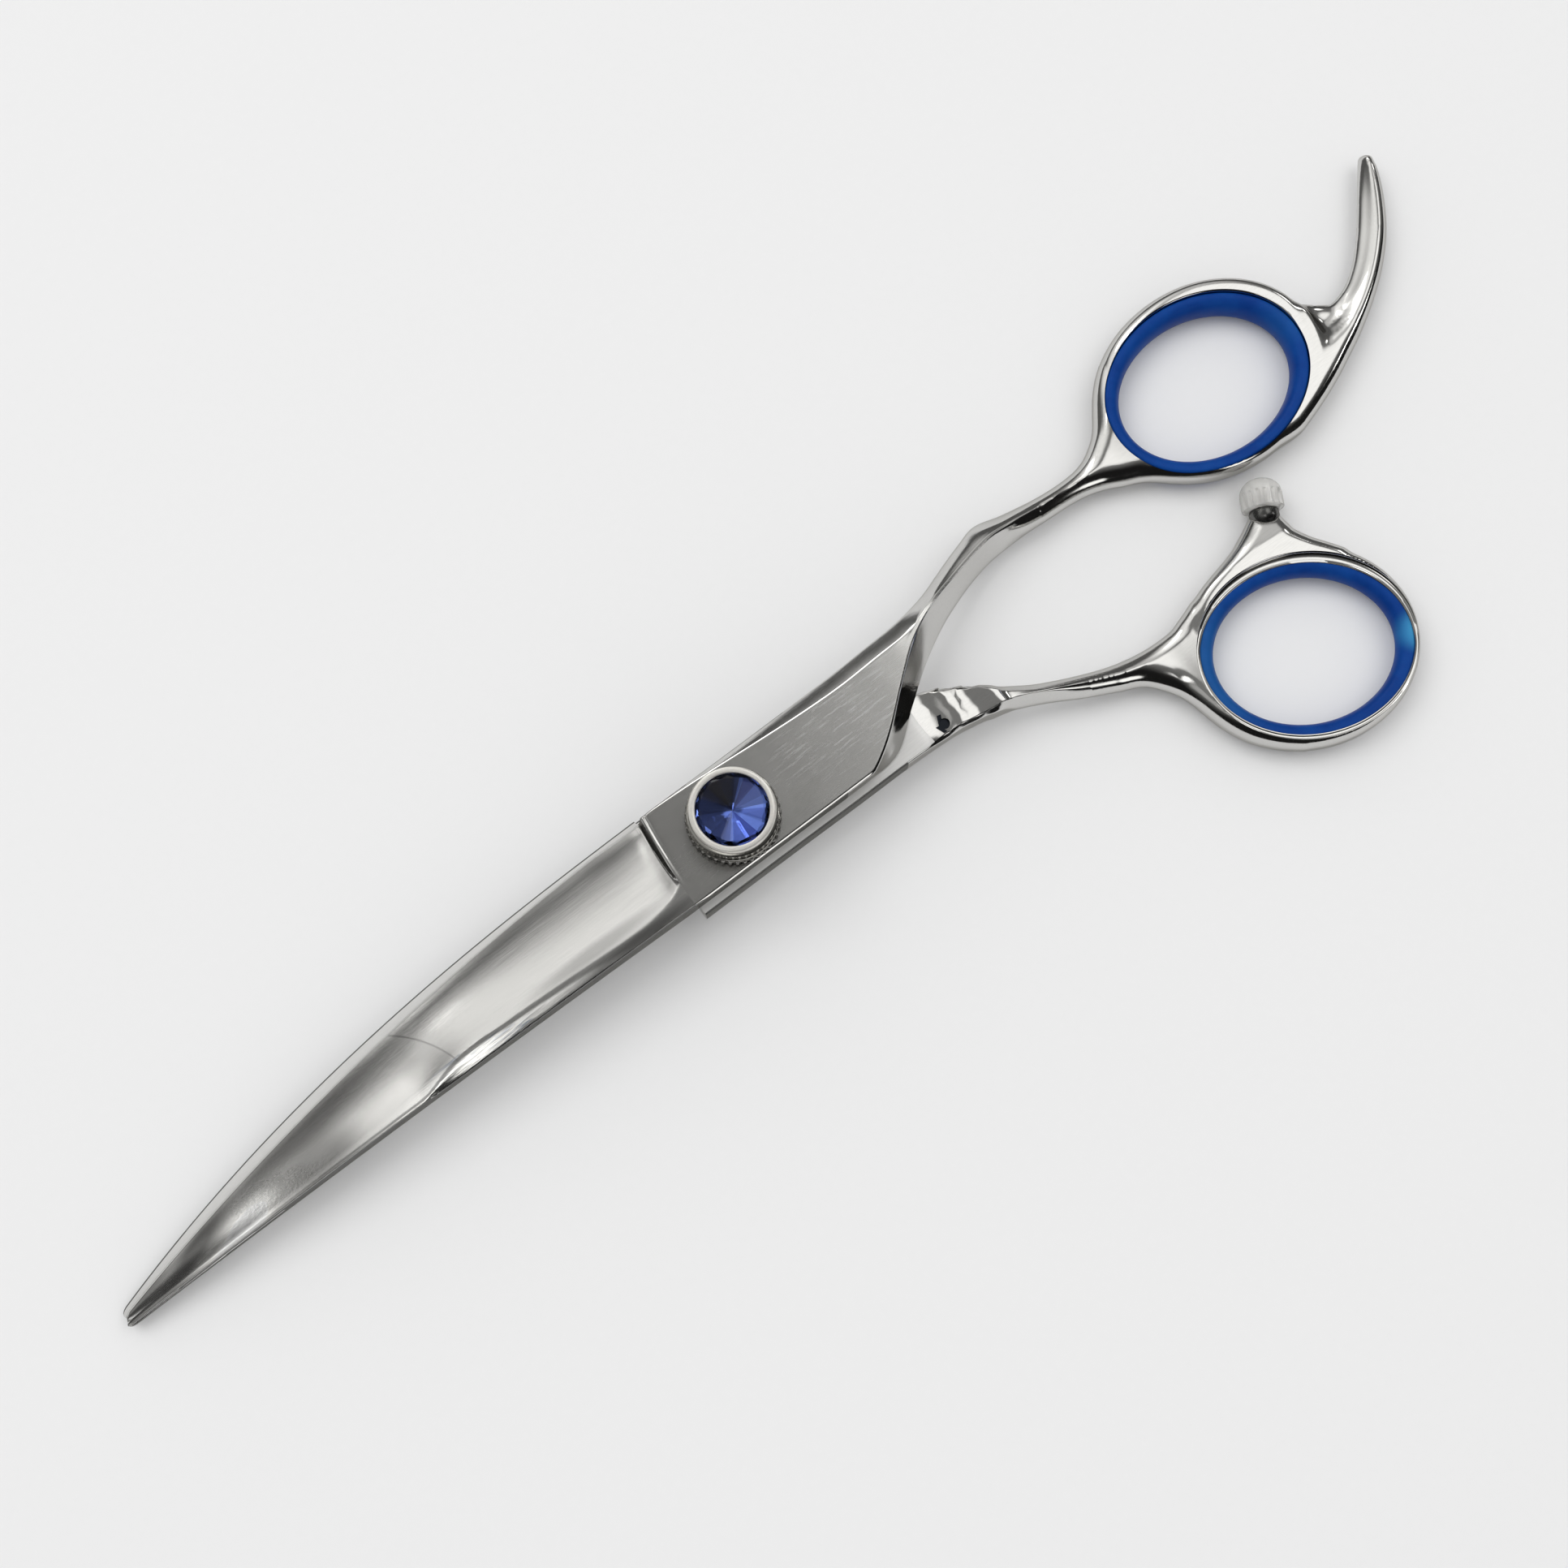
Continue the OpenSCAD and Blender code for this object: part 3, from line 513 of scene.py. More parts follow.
def bar_distance(rows, x, y, end):
    """Plan distance to a shank that follows its table up to an end."""
    step = 0.1
    low, high = flow(rows, x, 1), flow(rows, x, 2)
    low_slope = (flow(rows, x + step, 1) - low) / step
    high_slope = (flow(rows, x + step, 2) - high) / step
    side = np.maximum((y - high) / np.hypot(1, high_slope), (low - y) / np.hypot(1, low_slope))
    return np.maximum(side, x - end)


def path_distance(path, x, y):
    """Plan distance to a path of changing width, with the place along it and the side."""
    best = np.full(x.shape, 1e9)
    place, side = np.zeros(x.shape), np.zeros(x.shape)
    for k in range(len(path) - 1):
        a, b = path[k], path[k + 1]
        run = b[:2] - a[:2]
        size = np.hypot(*run)
        t = np.clip(((x - a[0]) * run[0] + (y - a[1]) * run[1]) / size**2, 0, 1)
        dx, dy = x - a[0] - run[0] * t, y - a[1] - run[1] * t
        d = np.hypot(dx, dy) - (a[2] + (b[2] - a[2]) * t) / 2
        near = d < best
        best = np.where(near, d, best)
        place = np.where(near, k + t, place)
        side = np.where(near, (dy * run[0] - dx * run[1]) / size, side)
    return best, place, side


def outline_distance(outline, x, y):
    """Plan distance to a closed outline, less than zero inside."""
    best = np.full(x.shape, 1e9)
    inside = np.zeros(x.shape, bool)
    for k in range(len(outline)):
        (ax, ay), (bx, by) = outline[k - 1], outline[k]
        run = (bx - ax, by - ay)
        t = np.clip(((x - ax) * run[0] + (y - ay) * run[1]) / (run[0]**2 + run[1]**2), 0, 1)
        best = np.minimum(best, np.hypot(x - ax - run[0] * t, y - ay - run[1] * t))
        crosses = (ay > y) != (by > y)
        at = ax + (y - ay) * run[0] / (run[1] if run[1] else 1e-9)
        inside ^= crosses & (x < at)
    return np.where(inside, -best, best)


def hole_size(ring):
    """Half length and half width of a ring's hole, in millimetres."""
    return in_mm("rings", ring["name"] + "_long", ring["name"] + "_short")


def ring_distance(ring, x, y):
    """Plan distance to a ring's outside."""
    half_long, half_short = hole_size(ring)
    rim, = in_mm("rings", "rim")
    turn = math.radians(ring["turn"])
    dx, dy = x - ring["centre"][0], y - ring["centre"][1]
    u = dx * math.cos(turn) + dy * math.sin(turn)
    v = dy * math.cos(turn) - dx * math.sin(turn)
    return oval_distance(u - ring["shift"][0], v - ring["shift"][1],
                         half_long + rim - ring["trim"][0], half_short + rim - ring["trim"][1])


def flanked(plan, level, half, upper, lower, k):
    """A slab whose faces fall away, each by (width, depth), towards its plan outline."""
    slabs = [level * sign - half + depth * np.clip(1 + plan / width, 0, 1.6) ** 2
             for sign, (width, depth) in ((1, upper), (-1, lower))]
    return soft_max(plan, np.maximum(*slabs), k)


def shares(*distances):
    """Share that each shape has in a place, from its plan distances."""
    weights = [np.exp(-np.clip(d, -1.5, 9) / 1.2) for d in distances]
    total = sum(weights)
    return [w / total for w in weights]


def mean(parts, values):
    """Mean of three values, by the share that each of three shapes has in a place."""
    return values[0] * parts[0] + values[1] * parts[1] + values[2] * parts[2]


def blended(plan, z, parts, rows, x, third_half, upper, lower):
    """Surface of a ring, a shank and a third shape, with the widths and depths by which
    their upper and lower faces fall away towards the outline."""
    thickness, = in_mm("rings", "thickness")
    low, high = flow(rows, x, 3), flow(rows, x, 4)
    middle = (low + high) / 2 * parts[1]
    half = mean(parts, (thickness / 2, (high - low) / 2, third_half))
    return flanked(plan, z - middle, half, [mean(parts, values) for values in upper],
                   [mean(parts, values) for values in lower], 0.9 - 0.2 * parts[0])


def finger_field(p, curve):
    """Blended surface of the finger ring, its rest and the end of its shank."""
    x, y, z = p[:, 0], p[:, 1], p[:, 2]
    ring = ring_distance(FINGER_RING, x, y)
    shank = bar_distance(FINGER_SHANK, x, y, FINGER_SHANK_END)
    rest, place, side = path_distance(curve, x, y)
    web = np.hypot(x - FINGER_WEB[0], y - FINGER_WEB[1]) - FINGER_WEB[2]
    plan = soft_min(soft_min(soft_min(ring, shank, 1.5), rest, 2.2), web, 2.5)
    rest_half = np.interp(place, np.arange(len(curve)), curve[:, 3])
    width = np.interp(place, np.arange(len(curve)), curve[:, 2])
    # past its root, the rest gets thinner towards its inner side
    slope = 0.7 * ease((x - 87) / 8)
    inward = side + 0.18 * width
    drop = slope * (inward + np.sqrt(inward**2 + 0.2)) / 2 * ease((ring + 0.3) / 2)
    rest_half = soft_max(rest_half - drop, 0.6, 0.6)
    # the rim rounds over further on the side that faces the shank
    near = ease((0.61 * (y - FINGER_RING["centre"][1])
                 - 0.79 * (x - FINGER_RING["centre"][0])) / 12)
    upper = ((1.2 + 0.9 * near, 2.3, 1.8),
             (0.6 + 0.5 * near, 1.3, np.minimum(1.1, 0.75 * rest_half)))
    lower = ((1.5, 2.3, 1.5), (1.5, 1.4, 0.35 * rest_half))
    return blended(plan, z, shares(ring, shank, rest), FINGER_SHANK, x, rest_half, upper, lower)


def thumb_field(p):
    """Blended surface of the thumb ring, its bumper lug and the end of its shank."""
    x, y, z = p[:, 0], p[:, 1], p[:, 2]
    ring = ring_distance(THUMB_RING, x, y)
    shank = bar_distance(THUMB_SHANK, x, y, THUMB_SHANK_END)
    lug = outline_distance(LUG_OUTLINE, x, y)
    plan = soft_min(soft_min(ring, shank, 2.0), lug, 2.0)
    back = -((x - BUMPER_SEAT[0]) * BUMPER_AHEAD[0] + (y - BUMPER_SEAT[1]) * BUMPER_AHEAD[1])
    lug_half = 2.1 + 0.3 * ease(back / 4) - 0.18 * np.clip(y + 10.6, 0, 3.5)
    upper = ((1.2, 2.3, 2.0), (1.0, 1.3, 0.9))
    lower = ((1.5, 2.3, 1.5), (1.5, 1.4, 0.7))
    return blended(plan, z, shares(ring, shank, lug), THUMB_SHANK, x, lug_half, upper, lower)


def rest_curve():
    """Fine path of the finger rest: x, y, width and half thickness."""
    table = [(k,) + row for k, row in enumerate(REST_PATH)]
    t = np.linspace(0, len(REST_PATH) - 1, 100)
    share = flow(table, t, 4)
    root, tip = in_mm("rings", "rest", "rest_tip")
    width = flow(table, t, 3)
    half = (tip + (root - tip) * share) / 2 * np.minimum(1, width / 2)
    return np.stack([flow(table, t, 1), flow(table, t, 2), width, half], 1)


# Length of a probe, longest step and least slope when points are moved on to a field
PROBE, LONGEST_STEP, LEAST_SLOPE = 0.02, 0.4, 0.05


def slope_along(field, points, axis):
    """Slope of a field along one axis, numbered from 0."""
    probe = PROBE * np.eye(3)[axis]
    return (field(points + probe) - field(points - probe)) / (2 * PROBE)


def settle(piece, field, rounds):
    """Moves every vertex of a piece on to a field's surface."""
    points = points_of(piece)
    for _ in range(rounds):
        value = field(points)
        gradient = np.stack([slope_along(field, points, axis) for axis in range(3)], 1)
        size = np.maximum((gradient**2).sum(1, keepdims=True), LEAST_SLOPE)
        step = value[:, None] * gradient / size
        reach = np.maximum(1, np.linalg.norm(step, axis=1, keepdims=True) / LONGEST_STEP)
        points = points - step / reach
    set_points(piece, points)


def plug_lug(piece):
    """Fills the bumper's threaded hole, which its stud covers."""
    ahead = Vector((*BUMPER_AHEAD, 0))
    plug = rod(24, 1.3, 3.4, (Vector(BUMPER_SEAT) - ahead * 1.75) * MM,
               ahead.to_track_quat("Z", "Y").to_euler())
    join([piece, plug], piece.name)


def plug_hole(piece, ring):
    """Fills a ring's hole, which is cut again once the ring is smooth."""
    thickness, = in_mm("rings", "thickness")
    level = thickness / 2 - 0.15
    rings = [[(*ring_point(ring, t, 0.5), z)
              for t in np.linspace(0, 2 * math.pi, 96, endpoint=False)]
             for z in np.linspace(-level, level, 9)]
    join([piece, wrap("plug", rings)], piece.name)


def ring_piece(name, node, ring, field, seam, voxel=0.24):
    """Ring and all that grows out of it, cut open at the seam on its shank."""
    only(frame["nodes"][node])
    bpy.ops.object.duplicate()
    piece = bpy.context.active_object
    piece.name = name
    for key in [k for k in piece.keys() if k.startswith("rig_")]:
        del piece[key]
    bpy.ops.object.parent_clear(type="CLEAR_KEEP_TRANSFORM")
    tidy_mesh(piece, 1e-6)
    cut_off(piece, ((seam - 5) * MM, 0, 0), (1, 0, 0))
    if ring is THUMB_RING:
        plug_lug(piece)
    plug_hole(piece, ring)
    for rounds in (8, 5):
        apply_modifier(piece, "REMESH", mode="VOXEL", voxel_size=voxel * MM)
        settle(piece, field, rounds)
    apply_modifier(piece, "SMOOTH", factor=0.5, iterations=3)
    settle(piece, field, 4)
    cut_off(piece, (seam * MM, 0, 0), (1, 0, 0), fill=False)
    return piece


def bridge(piece):
    """Bridges the two open ends of a piece, which face each other."""
    only(piece)
    bpy.ops.object.mode_set(mode="EDIT")
    bpy.ops.mesh.select_mode(type="EDGE")
    bpy.ops.mesh.select_all(action="DESELECT")
    bpy.ops.mesh.select_non_manifold()
    bpy.ops.mesh.bridge_edge_loops()
    bpy.ops.mesh.select_mode(type="VERT")
    bpy.ops.mesh.select_all(action="SELECT")
    bpy.ops.mesh.normals_make_consistent(inside=False)
    bpy.ops.object.mode_set(mode="OBJECT")


def bore(piece, x, y, low, high, diameter, sides=64):
    """Drills a round hole along Z."""
    cut_with(piece, rod(sides, diameter / 2, high - low,
                        (x * MM, y * MM, (low + high) / 2 * MM)))


def ring_point(ring, t, outward):
    """Point of a ring's hole at an angle, moved outwards by a distance."""
    half_long, half_short = hole_size(ring)
    turn = math.radians(ring["turn"])
    n = np.array([math.cos(t) / half_long, math.sin(t) / half_short])
    u = np.array([half_long * math.cos(t), half_short * math.sin(t)]) + n / np.hypot(*n) * outward
    return (ring["centre"][0] + u[0] * math.cos(turn) - u[1] * math.sin(turn),
            ring["centre"][1] + u[0] * math.sin(turn) + u[1] * math.cos(turn))


def lip_round(start, reach, level, radius, angles):
    """Rounded lip of a hole, as (outwards, height, no ledge) going up."""
    return [(start - reach * math.cos(t), level - radius + radius * math.sin(t), 0)
            for t in angles]


def cut_hole(piece, ring, lip, ledge=0.0):
    """Cuts a ring's oval hole, with the lip given as (outwards, height, share of the ledge)
    going up; the ledge overhangs the hole, most on its far side."""
    sides = [(out, -z, over) for out, z, over in reversed(lip)] + list(lip)
    far = 1.3
    rings = [[(*ring_point(ring, t, out - over * ledge * (
        0.25 + max(0.0, math.cos(t - far)) + 0.45 * max(0.0, -math.cos(t - far)))), z)
              for t in np.linspace(0, 2 * math.pi, 160, endpoint=False)]
             for out, z, over in sides]
    cut_with(piece, wrap("cutter", rings))


# ---- The two halves ----

def blade_share(x):
    """Share of the way from the shoulder to the tip."""
    shoulder, reach = in_mm("halves", "shoulder_reach", "blade_reach")
    return (-x - shoulder) / (reach - shoulder)


def fall(x):
    """How far the bend has taken the blades down at x."""
    start, radius = in_mm("halves", "bend_start", "bend")
    return max(0.0, abs(x) - start) ** 2 / (2 * radius)


def tip_rounding(x, spine, edge):
    """Draws the outline in where the tip is rounded."""
    reach, = in_mm("halves", "blade_reach")
    left = reach + x
    if left >= TIP_ROUND:
        return spine, edge
    pull = 1 - math.sqrt(max(0.0, 1 - (1 - left / TIP_ROUND) ** 2))
    return spine + 0.35 * pull, edge - 1.0 * pull


def blade_corners(x, spine, edge, ridge):
    """Corners of a blade's section, measured outwards from its inner face."""
    s = max(0.0, blade_share(x))
    tang, tip, thin = in_mm("halves", "tang", "tip", "edge")
    hollow = bpy.context.scene.shears_halves.hollow
    height = tang + (tip - tang) * s**1.05
    spine, edge = tip_rounding(x, spine, edge)
    ridge = min(max(ridge, spine + 0.3), edge - 0.5)
    tilt = 0.3 * float(ease(s * 3))
    return [
        (spine, height * 0.82 - tilt * 0.8, 0.12), (spine + 0.18, height - tilt, 0.12),
        (ridge, height, 0.5), (edge - 0.24, thin + 0.04, 0.06), (edge, 0.12, 0.04),
        (edge, 0.06, 0.02), (edge - 0.1, 0.0, 0.02), (spine + 0.2, 0.0, 0.03),
        (spine, 0.24, 0.05),
    ], hollow * (height - thin) * 0.55


def finger_plan(x):
    """Spine, edge and ridge of the upper blade at x."""
    s = max(0.0, blade_share(x))
    spine, edge = -5.4 + 1.4 * s, 6.5 + 0.3 * min(1, s * 12) - 1.5 * s - 7.7 * s**2.1
    return spine, edge, float(flow(GRIND_RIDGE, x))


def thumb_plan(x):
    """Spine, edge and ridge of the lower blade at x, measured towards its own edge."""
    s = max(0.0, blade_share(x))
    spine = -7.25 + 0.8 * s + 8.2 * s**2.6
    return spine, 4.7 - 1.4 * s, spine + 1.9 - 1.5 * s


def finger_bar_corners(x):
    """Corners of the upper tang and shank at x, in y and z."""
    low, high, base, top = (float(flow(FINGER_SHANK, x, column)) for column in (1, 2, 3, 4))
    widest, = in_mm("halves", "bevel")
    bevel = widest * share_at(x, -9, 30) + 0.12
    shank = share_at(x, 27, 9)
    late = share_at(x, 43, 9)
    crest = float(flow(TANG_CREST, x))
    crest_w = 0.6 - 0.25 * shank
    drop = 0.22 + 0.1 * shank
    hi_w = bevel * (1 - shank) + shank * (high - crest) * 0.55
    hi_drop = (0.62 * bevel + 0.2) * (1 - shank) + shank * (1.5 + 0.4 * late)
    hi_start = (high - hi_w, top - 0.35 * shank)
    under = 0.35 * (1 - shank) + 1.1 * shank
    flare = share_at(x, 15, 3) * (1 - share_at(x, 33, 6))
    return [
        (crest - 0.28, top - drop - 0.35 * shank, 0.1), (crest, top, 0.12 + 0.25 * late),
        (crest + crest_w, top, 0.12), (*hi_start, 0.18 + 0.3 * shank),
        (high, top - hi_drop, 0.25 + 0.3 * shank), (high, base + under, 0.1 + 0.5 * shank),
        (high - under, base, 0.1 + 0.5 * shank), (low + under, base, 0.1 + 0.5 * shank),
        (low, base + under * (0.7 + 0.3 * (1 - flare)), 0.12 + 0.5 * shank),
    ]


def thumb_bar_corners(x):
    """Corners of the lower tang and shank at x, in y and z; the riding face is on top."""
    low, high, base, top = (float(flow(THUMB_SHANK, x, column)) for column in (1, 2, 3, 4))
    shank = share_at(x, 31.5, 4)
    neck = share_at(x, 23.5, 3)
    late = share_at(x, 36, 7)
    top = top + float(flow(NECK_WAVE, x))
    edge = 0.22 + 0.25 * neck + 0.75 * shank
    under = 0.35 + 0.85 * shank
    mid = (low + high) / 2
    return [
        (low, base + under, 0.1 + 0.5 * shank), (low + under, base, 0.1 + 0.5 * shank),
        (mid, base, 0.3), (high - under, base, 0.1 + 0.5 * shank),
        (high, base + under, 0.1 + 0.5 * shank),
        (high, top - edge, 0.1 + 0.5 * shank), (high - edge, top - 0.1 * shank, 0.12 + 0.5 * late),
        (low + edge * (1 - 0.2 * shank), top, 0.12 + 0.4 * late),
        (low, top - edge * (1 + 0.8 * shank), 0.1 + 0.4 * shank),
    ]


# Points in between the corners of a section, after each of its nine corners
FILLS = (0, 2, 9, 0, 2, 0, 4, 0, 2)


def stations(seam):
    """Places along X for the sections, closer together at the tip and the shoulder."""
    tip, shoulder = (-reach for reach in in_mm("halves", "blade_reach", "shoulder_reach"))
    return np.concatenate([
        tip + TIP_ROUND * (1 - np.cos(np.linspace(0.12, math.pi / 2, 8))),
        np.arange(tip + 1.3, shoulder - 4.5, 0.8),
        np.arange(shoulder - 4.2, shoulder - 1.3, 0.3),
        shoulder - 0.5 + np.linspace(-0.6, 0.5, 16),
        shoulder + np.array([0.07, 0.14, 0.22, 0.32, 0.42, 0.52, 0.64, 0.8, 1.0]),
        np.arange(shoulder + 1.5, seam - 0.2, 0.45),
        [seam - 0.15],
    ])


def step_shift(y):
    """How far the shoulder's step lies off its mean place at y."""
    return flow(SHOULDER_SHIFT, y)


def finger_sections(seam):
    """Sections of the finger half from its tip to the seam on its shank."""
    reach, ride = in_mm("halves", "shoulder_reach", "ride")
    shoulder = -reach
    rings = []
    for x in stations(seam):
        near = max(0.0, 1 - abs(x - shoulder) / 4)
        if x < shoulder:
            corners, bow = blade_corners(x, *finger_plan(x))
            ring = rounded_section(corners, FILLS, (2, bow))
            # just short of the shoulder the grind sweeps up to the tang's face
            climb = 0.14 * max(0.0, 1 - (shoulder - x) / 2.8) ** 2
            climb += 0.8 * max(0.0, 1 - (shoulder - x) / 0.5) ** 2.2
            if climb > 0:
                bar = [(u, h - ride, r) for u, h, r in finger_bar_corners(shoulder)]
                ring = ring + (rounded_section(bar, FILLS) - ring) * [0.0, climb]
            ring = ring + [0, ride - fall(x)]
        else:
            corners = finger_bar_corners(x)
            if x < shoulder + SHOULDER_RUN:
                blade, _ = blade_corners(shoulder, *finger_plan(shoulder))
                t = share_at(x, shoulder, SHOULDER_RUN)
                lip = float(flow(SHOULDER_LIP, x - shoulder))
                corners = [(b[0] + (c[0] - b[0]) * t, c[1] + (lip if 2 < k < 5 else 0), c[2])
                           for k, (b, c) in enumerate(zip(blade, corners))]
            ring = rounded_section(corners, FILLS)
        along = x + step_shift(ring[:, 0]) * ease(near)
        rings.append(np.stack([along, ring[:, 0], ring[:, 1]], 1))
    return rings


def thumb_sections(seam):
    """Sections of the thumb half, turned over so that its hollow faces down."""
    sizes = bpy.context.scene.shears_halves
    shoulder = -sizes.shoulder_reach / MM
    ride = (sizes.ride - sizes.gap) / MM
    rings = []
    for x in stations(seam):
        if x < shoulder:
            corners, bow = blade_corners(x, *thumb_plan(x))
            ring = rounded_section(corners, FILLS, (2, bow))
            ring = np.stack([-ring[:, 0], ride - fall(x) - ring[:, 1]], 1)
        else:
            corners = thumb_bar_corners(x)
            corners = [corners[(4 - k) % 9] for k in range(9)]
            ring = rounded_section(corners, FILLS)
        # the neck was hammered to shape, which left its folds a little wavy
        beaten = 0.2 * np.sin(4.1 * ring[:, 0]) + 0.12 * np.sin(9.3 * ring[:, 0] + 1)
        along = x + beaten * float(ease((x - 22) / 2) - ease((x - 31) / 3))
        rings.append(np.stack([along, ring[:, 0], ring[:, 1]], 1))
    return rings


def match_to_field(rings, field, seam, reach=7.0):
    """Draws the last sections on to the field that carries on past the seam."""
    for ring in rings:
        weight = float(ease((ring[:, 0].mean() - seam + reach) / reach))
        if weight <= 0:
            continue
        moved = ring.copy()
        for _ in range(10):
            value = field(moved)
            slopes = {axis: slope_along(field, moved, axis) for axis in (1, 2)}
            size = np.maximum(slopes[1]**2 + slopes[2]**2, LEAST_SLOPE)
            for axis, slope in slopes.items():
                moved[:, axis] -= np.clip(value * slope / size, -LONGEST_STEP, LONGEST_STEP)
        ring += (moved - ring) * weight


def open_end(piece, seam):
    """Takes the cap off the end of a half at its seam."""
    ends = [v for v in piece.data.vertices if v.co.x / MM > seam - 0.3]
    middle = sum((v.co for v in ends), Vector()) / len(ends)
    hub = min(ends, key=lambda v: (v.co - middle).length).index
    pick(piece, lambda v: v.index == hub)
    bpy.ops.mesh.delete(type="VERT")
    bpy.ops.object.mode_set(mode="OBJECT")


def half_piece(name, node, rings, ring, field, seam):
    """A whole half: its blade, tang and shank, bridged to its ring."""
    match_to_field(rings, field, seam)
    bar = wrap(name, rings)
    open_end(bar, seam)
    piece = join([bar, ring_piece(name + "_ring", node, ring, field, seam)], name)
    bridge(piece)
    return piece


class SHEARS_OT_finger_half(bpy.types.Operator):
    """Forge the finger half: blade, tang, shank, ring and finger rest"""
    bl_idname = "shears.finger_half"
    bl_label = "Finger half"

    def execute(self, context):
        curve = rest_curve()
        piece = half_piece("finger_blade_and_ring", "finger_half",
                           finger_sections(FINGER_SEAM), FINGER_RING,
                           lambda p: finger_field(p, curve), FINGER_SEAM)
        top = in_mm("rings", "thickness")[0] / 2
        cut_hole(piece, FINGER_RING, [(0, top - 0.35, 0)] + lip_round(
            0.25, 0.25, top - 0.03, 0.25, np.linspace(0.2, 1.35, 5)) + [(0.4, top + 1, 0)])
        bore(piece, 0, 0, *BUSHING_BORE)
        bore(piece, 0, 0, *WASHER_RECESS)
        smooth_half(piece, FINGER_SEAM)
        paint(piece, polished_steel(), satin_steel(), ground_steel(), edge_shade_steel())
        paint_faces(piece, 1, lambda c, n: c.x < SATIN_END and n.z > 0.985 and c.y < 5)
        paint_faces(piece, 1, lambda c, n: -9 < c.x < SATIN_END and n.z > 0.995)
        paint_faces(piece, 2, lambda c, n: c.x < GRIND_END and n.z > 0.75)
        # the walls of the blade and tang are painted dark, as shade in place of their dark
        # reflections
        paint_faces(piece, 3, lambda c, n: c.x < UPPER_EDGE_END and abs(n.z) < 0.6)
        hand_over(piece, "finger_side", "polished_steel", "finger_half")
        return {"FINISHED"}


class SHEARS_OT_thumb_half(bpy.types.Operator):
    """Forge the thumb half: blade, tang, shank, ring and bumper lug"""
    bl_idname = "shears.thumb_half"
    bl_label = "Thumb half"

    def execute(self, context):
        piece = half_piece("thumb_blade_and_ring", "thumb_half", thumb_sections(THUMB_SEAM),
                           THUMB_RING, thumb_field, THUMB_SEAM)
        top, seat = in_mm("rings", "thickness")[0] / 2, in_mm("soft", "thumb_height")[0] / 2
        ledge = [(0, 0.02, 0), (0, 0.03, 1), (0.05, 0.1, 1), (0.12, 0.12, 0.9),
                 (0.2, 0.05, 0.75), (0.24, 0.06, 0.3), (0.28, 0.12, 0.1)]
        cut_hole(piece, THUMB_RING, [(out, seat + rise, over) for out, rise, over in ledge]
                 + lip_round(0.58, 0.28, top, 0.38, np.linspace(0.1, 1.35, 6))
                 + [(0.62, top + 1, 0)], 0.6)
        bore(piece, 0, 0, *POST_BORE)
        pocket_x, pocket_y, pocket_wide = POCKET
        bore(piece, pocket_x, pocket_y, 4.0, 5.2, pocket_wide, 32)
        smooth_half(piece, THUMB_SEAM)
        paint(piece, polished_steel(), satin_steel(), ground_steel(), edge_shade_steel(),
              ride_painted_sheen_steel(), pocket_shade_steel())
        # the riding face gets pale steel with a painted sheen
        paint_faces(piece, 4, lambda c, n: c.x < RIDE_END and n.z > 0.9)
        paint_faces(piece, 2, lambda c, n: c.x < GRIND_END and n.z < -0.75)
        # the walls and bevels of the lower blade and tang are painted dark, as shade
        paint_faces(piece, 3, lambda c, n: c.x < LOWER_EDGE_END and n.z < 0.93
                    and abs(n.y) > 0.3)
        # the drilled pocket is painted nearly black, as shade
        paint_faces(piece, 5, lambda c, n: math.hypot(c.x - pocket_x, c.y - pocket_y)
                    < pocket_wide / 2 + 0.03)
        hand_over(piece, "thumb_side", "polished_steel", "thumb_half")
        return {"FINISHED"}


# ---- Turned and moulded pieces ----

def lathe(name, profile, steps):
    """Turns a closed profile of (radius, height), in millimetres, round Z."""
    bpy.ops.object.select_all(action="DESELECT")
    bpy.ops.mesh.primitive_circle_add(vertices=len(profile), radius=1, fill_type="NOTHING")
    piece = bpy.context.active_object
    piece.name = piece.data.name = name
    set_points(piece, [(r, 0, z) for r, z in profile])
    with editing(piece):
        bpy.ops.mesh.spin(steps=steps, angle=2 * math.pi, center=(0, 0, 0), axis=(0, 0, 1))
        bpy.ops.mesh.select_all(action="SELECT")
        bpy.ops.mesh.remove_doubles(threshold=1e-7)
        bpy.ops.mesh.dissolve_degenerate(threshold=1e-7)
        bpy.ops.mesh.normals_make_consistent(inside=False)
    return piece


def notch(piece, teeth, depth, low, high, radius, sharp=1.6, cut_share=False):
    """Cuts teeth into the rim of a turned piece between two levels, to a depth in
    millimetres or to a share of the radius."""
    p = points_of(piece)
    r, angle = np.hypot(p[:, 0], p[:, 1]), np.arctan2(p[:, 1], p[:, 0])
    rim = (r > radius) & (p[:, 2] > low) & (p[:, 2] < high)
    wave = np.clip(np.cos(angle * teeth) * sharp, -1, 1) * 0.5 + 0.5
    cut = depth * wave if cut_share else depth * wave / np.maximum(r, 1)
    pull = np.where(rim, 1 - cut, 1.0)
    set_points(piece, p * np.stack([pull, pull, np.ones(len(pull))], 1))


def finish_piece(piece, body, slot, node, material, crisp=35):
    """Shades and paints a piece and hands it over in place of its node."""
    smooth(piece, crisp)
    paint(piece, material)
    hand_over(piece, body, slot, node)


def at_bumper(piece):
    """Moves a piece made round Z, in place, to the bumper's seat on the lug."""
    ahead = np.array([BUMPER_AHEAD[0], BUMPER_AHEAD[1], 0])
    side = np.array([-BUMPER_AHEAD[1], BUMPER_AHEAD[0], 0])
    p = points_of(piece)
    set_points(piece, np.array(BUMPER_SEAT) + p[:, :1] * side - p[:, 1:2] * [0, 0, 1]
               + p[:, 2:3] * ahead)
    tidy_mesh(piece)


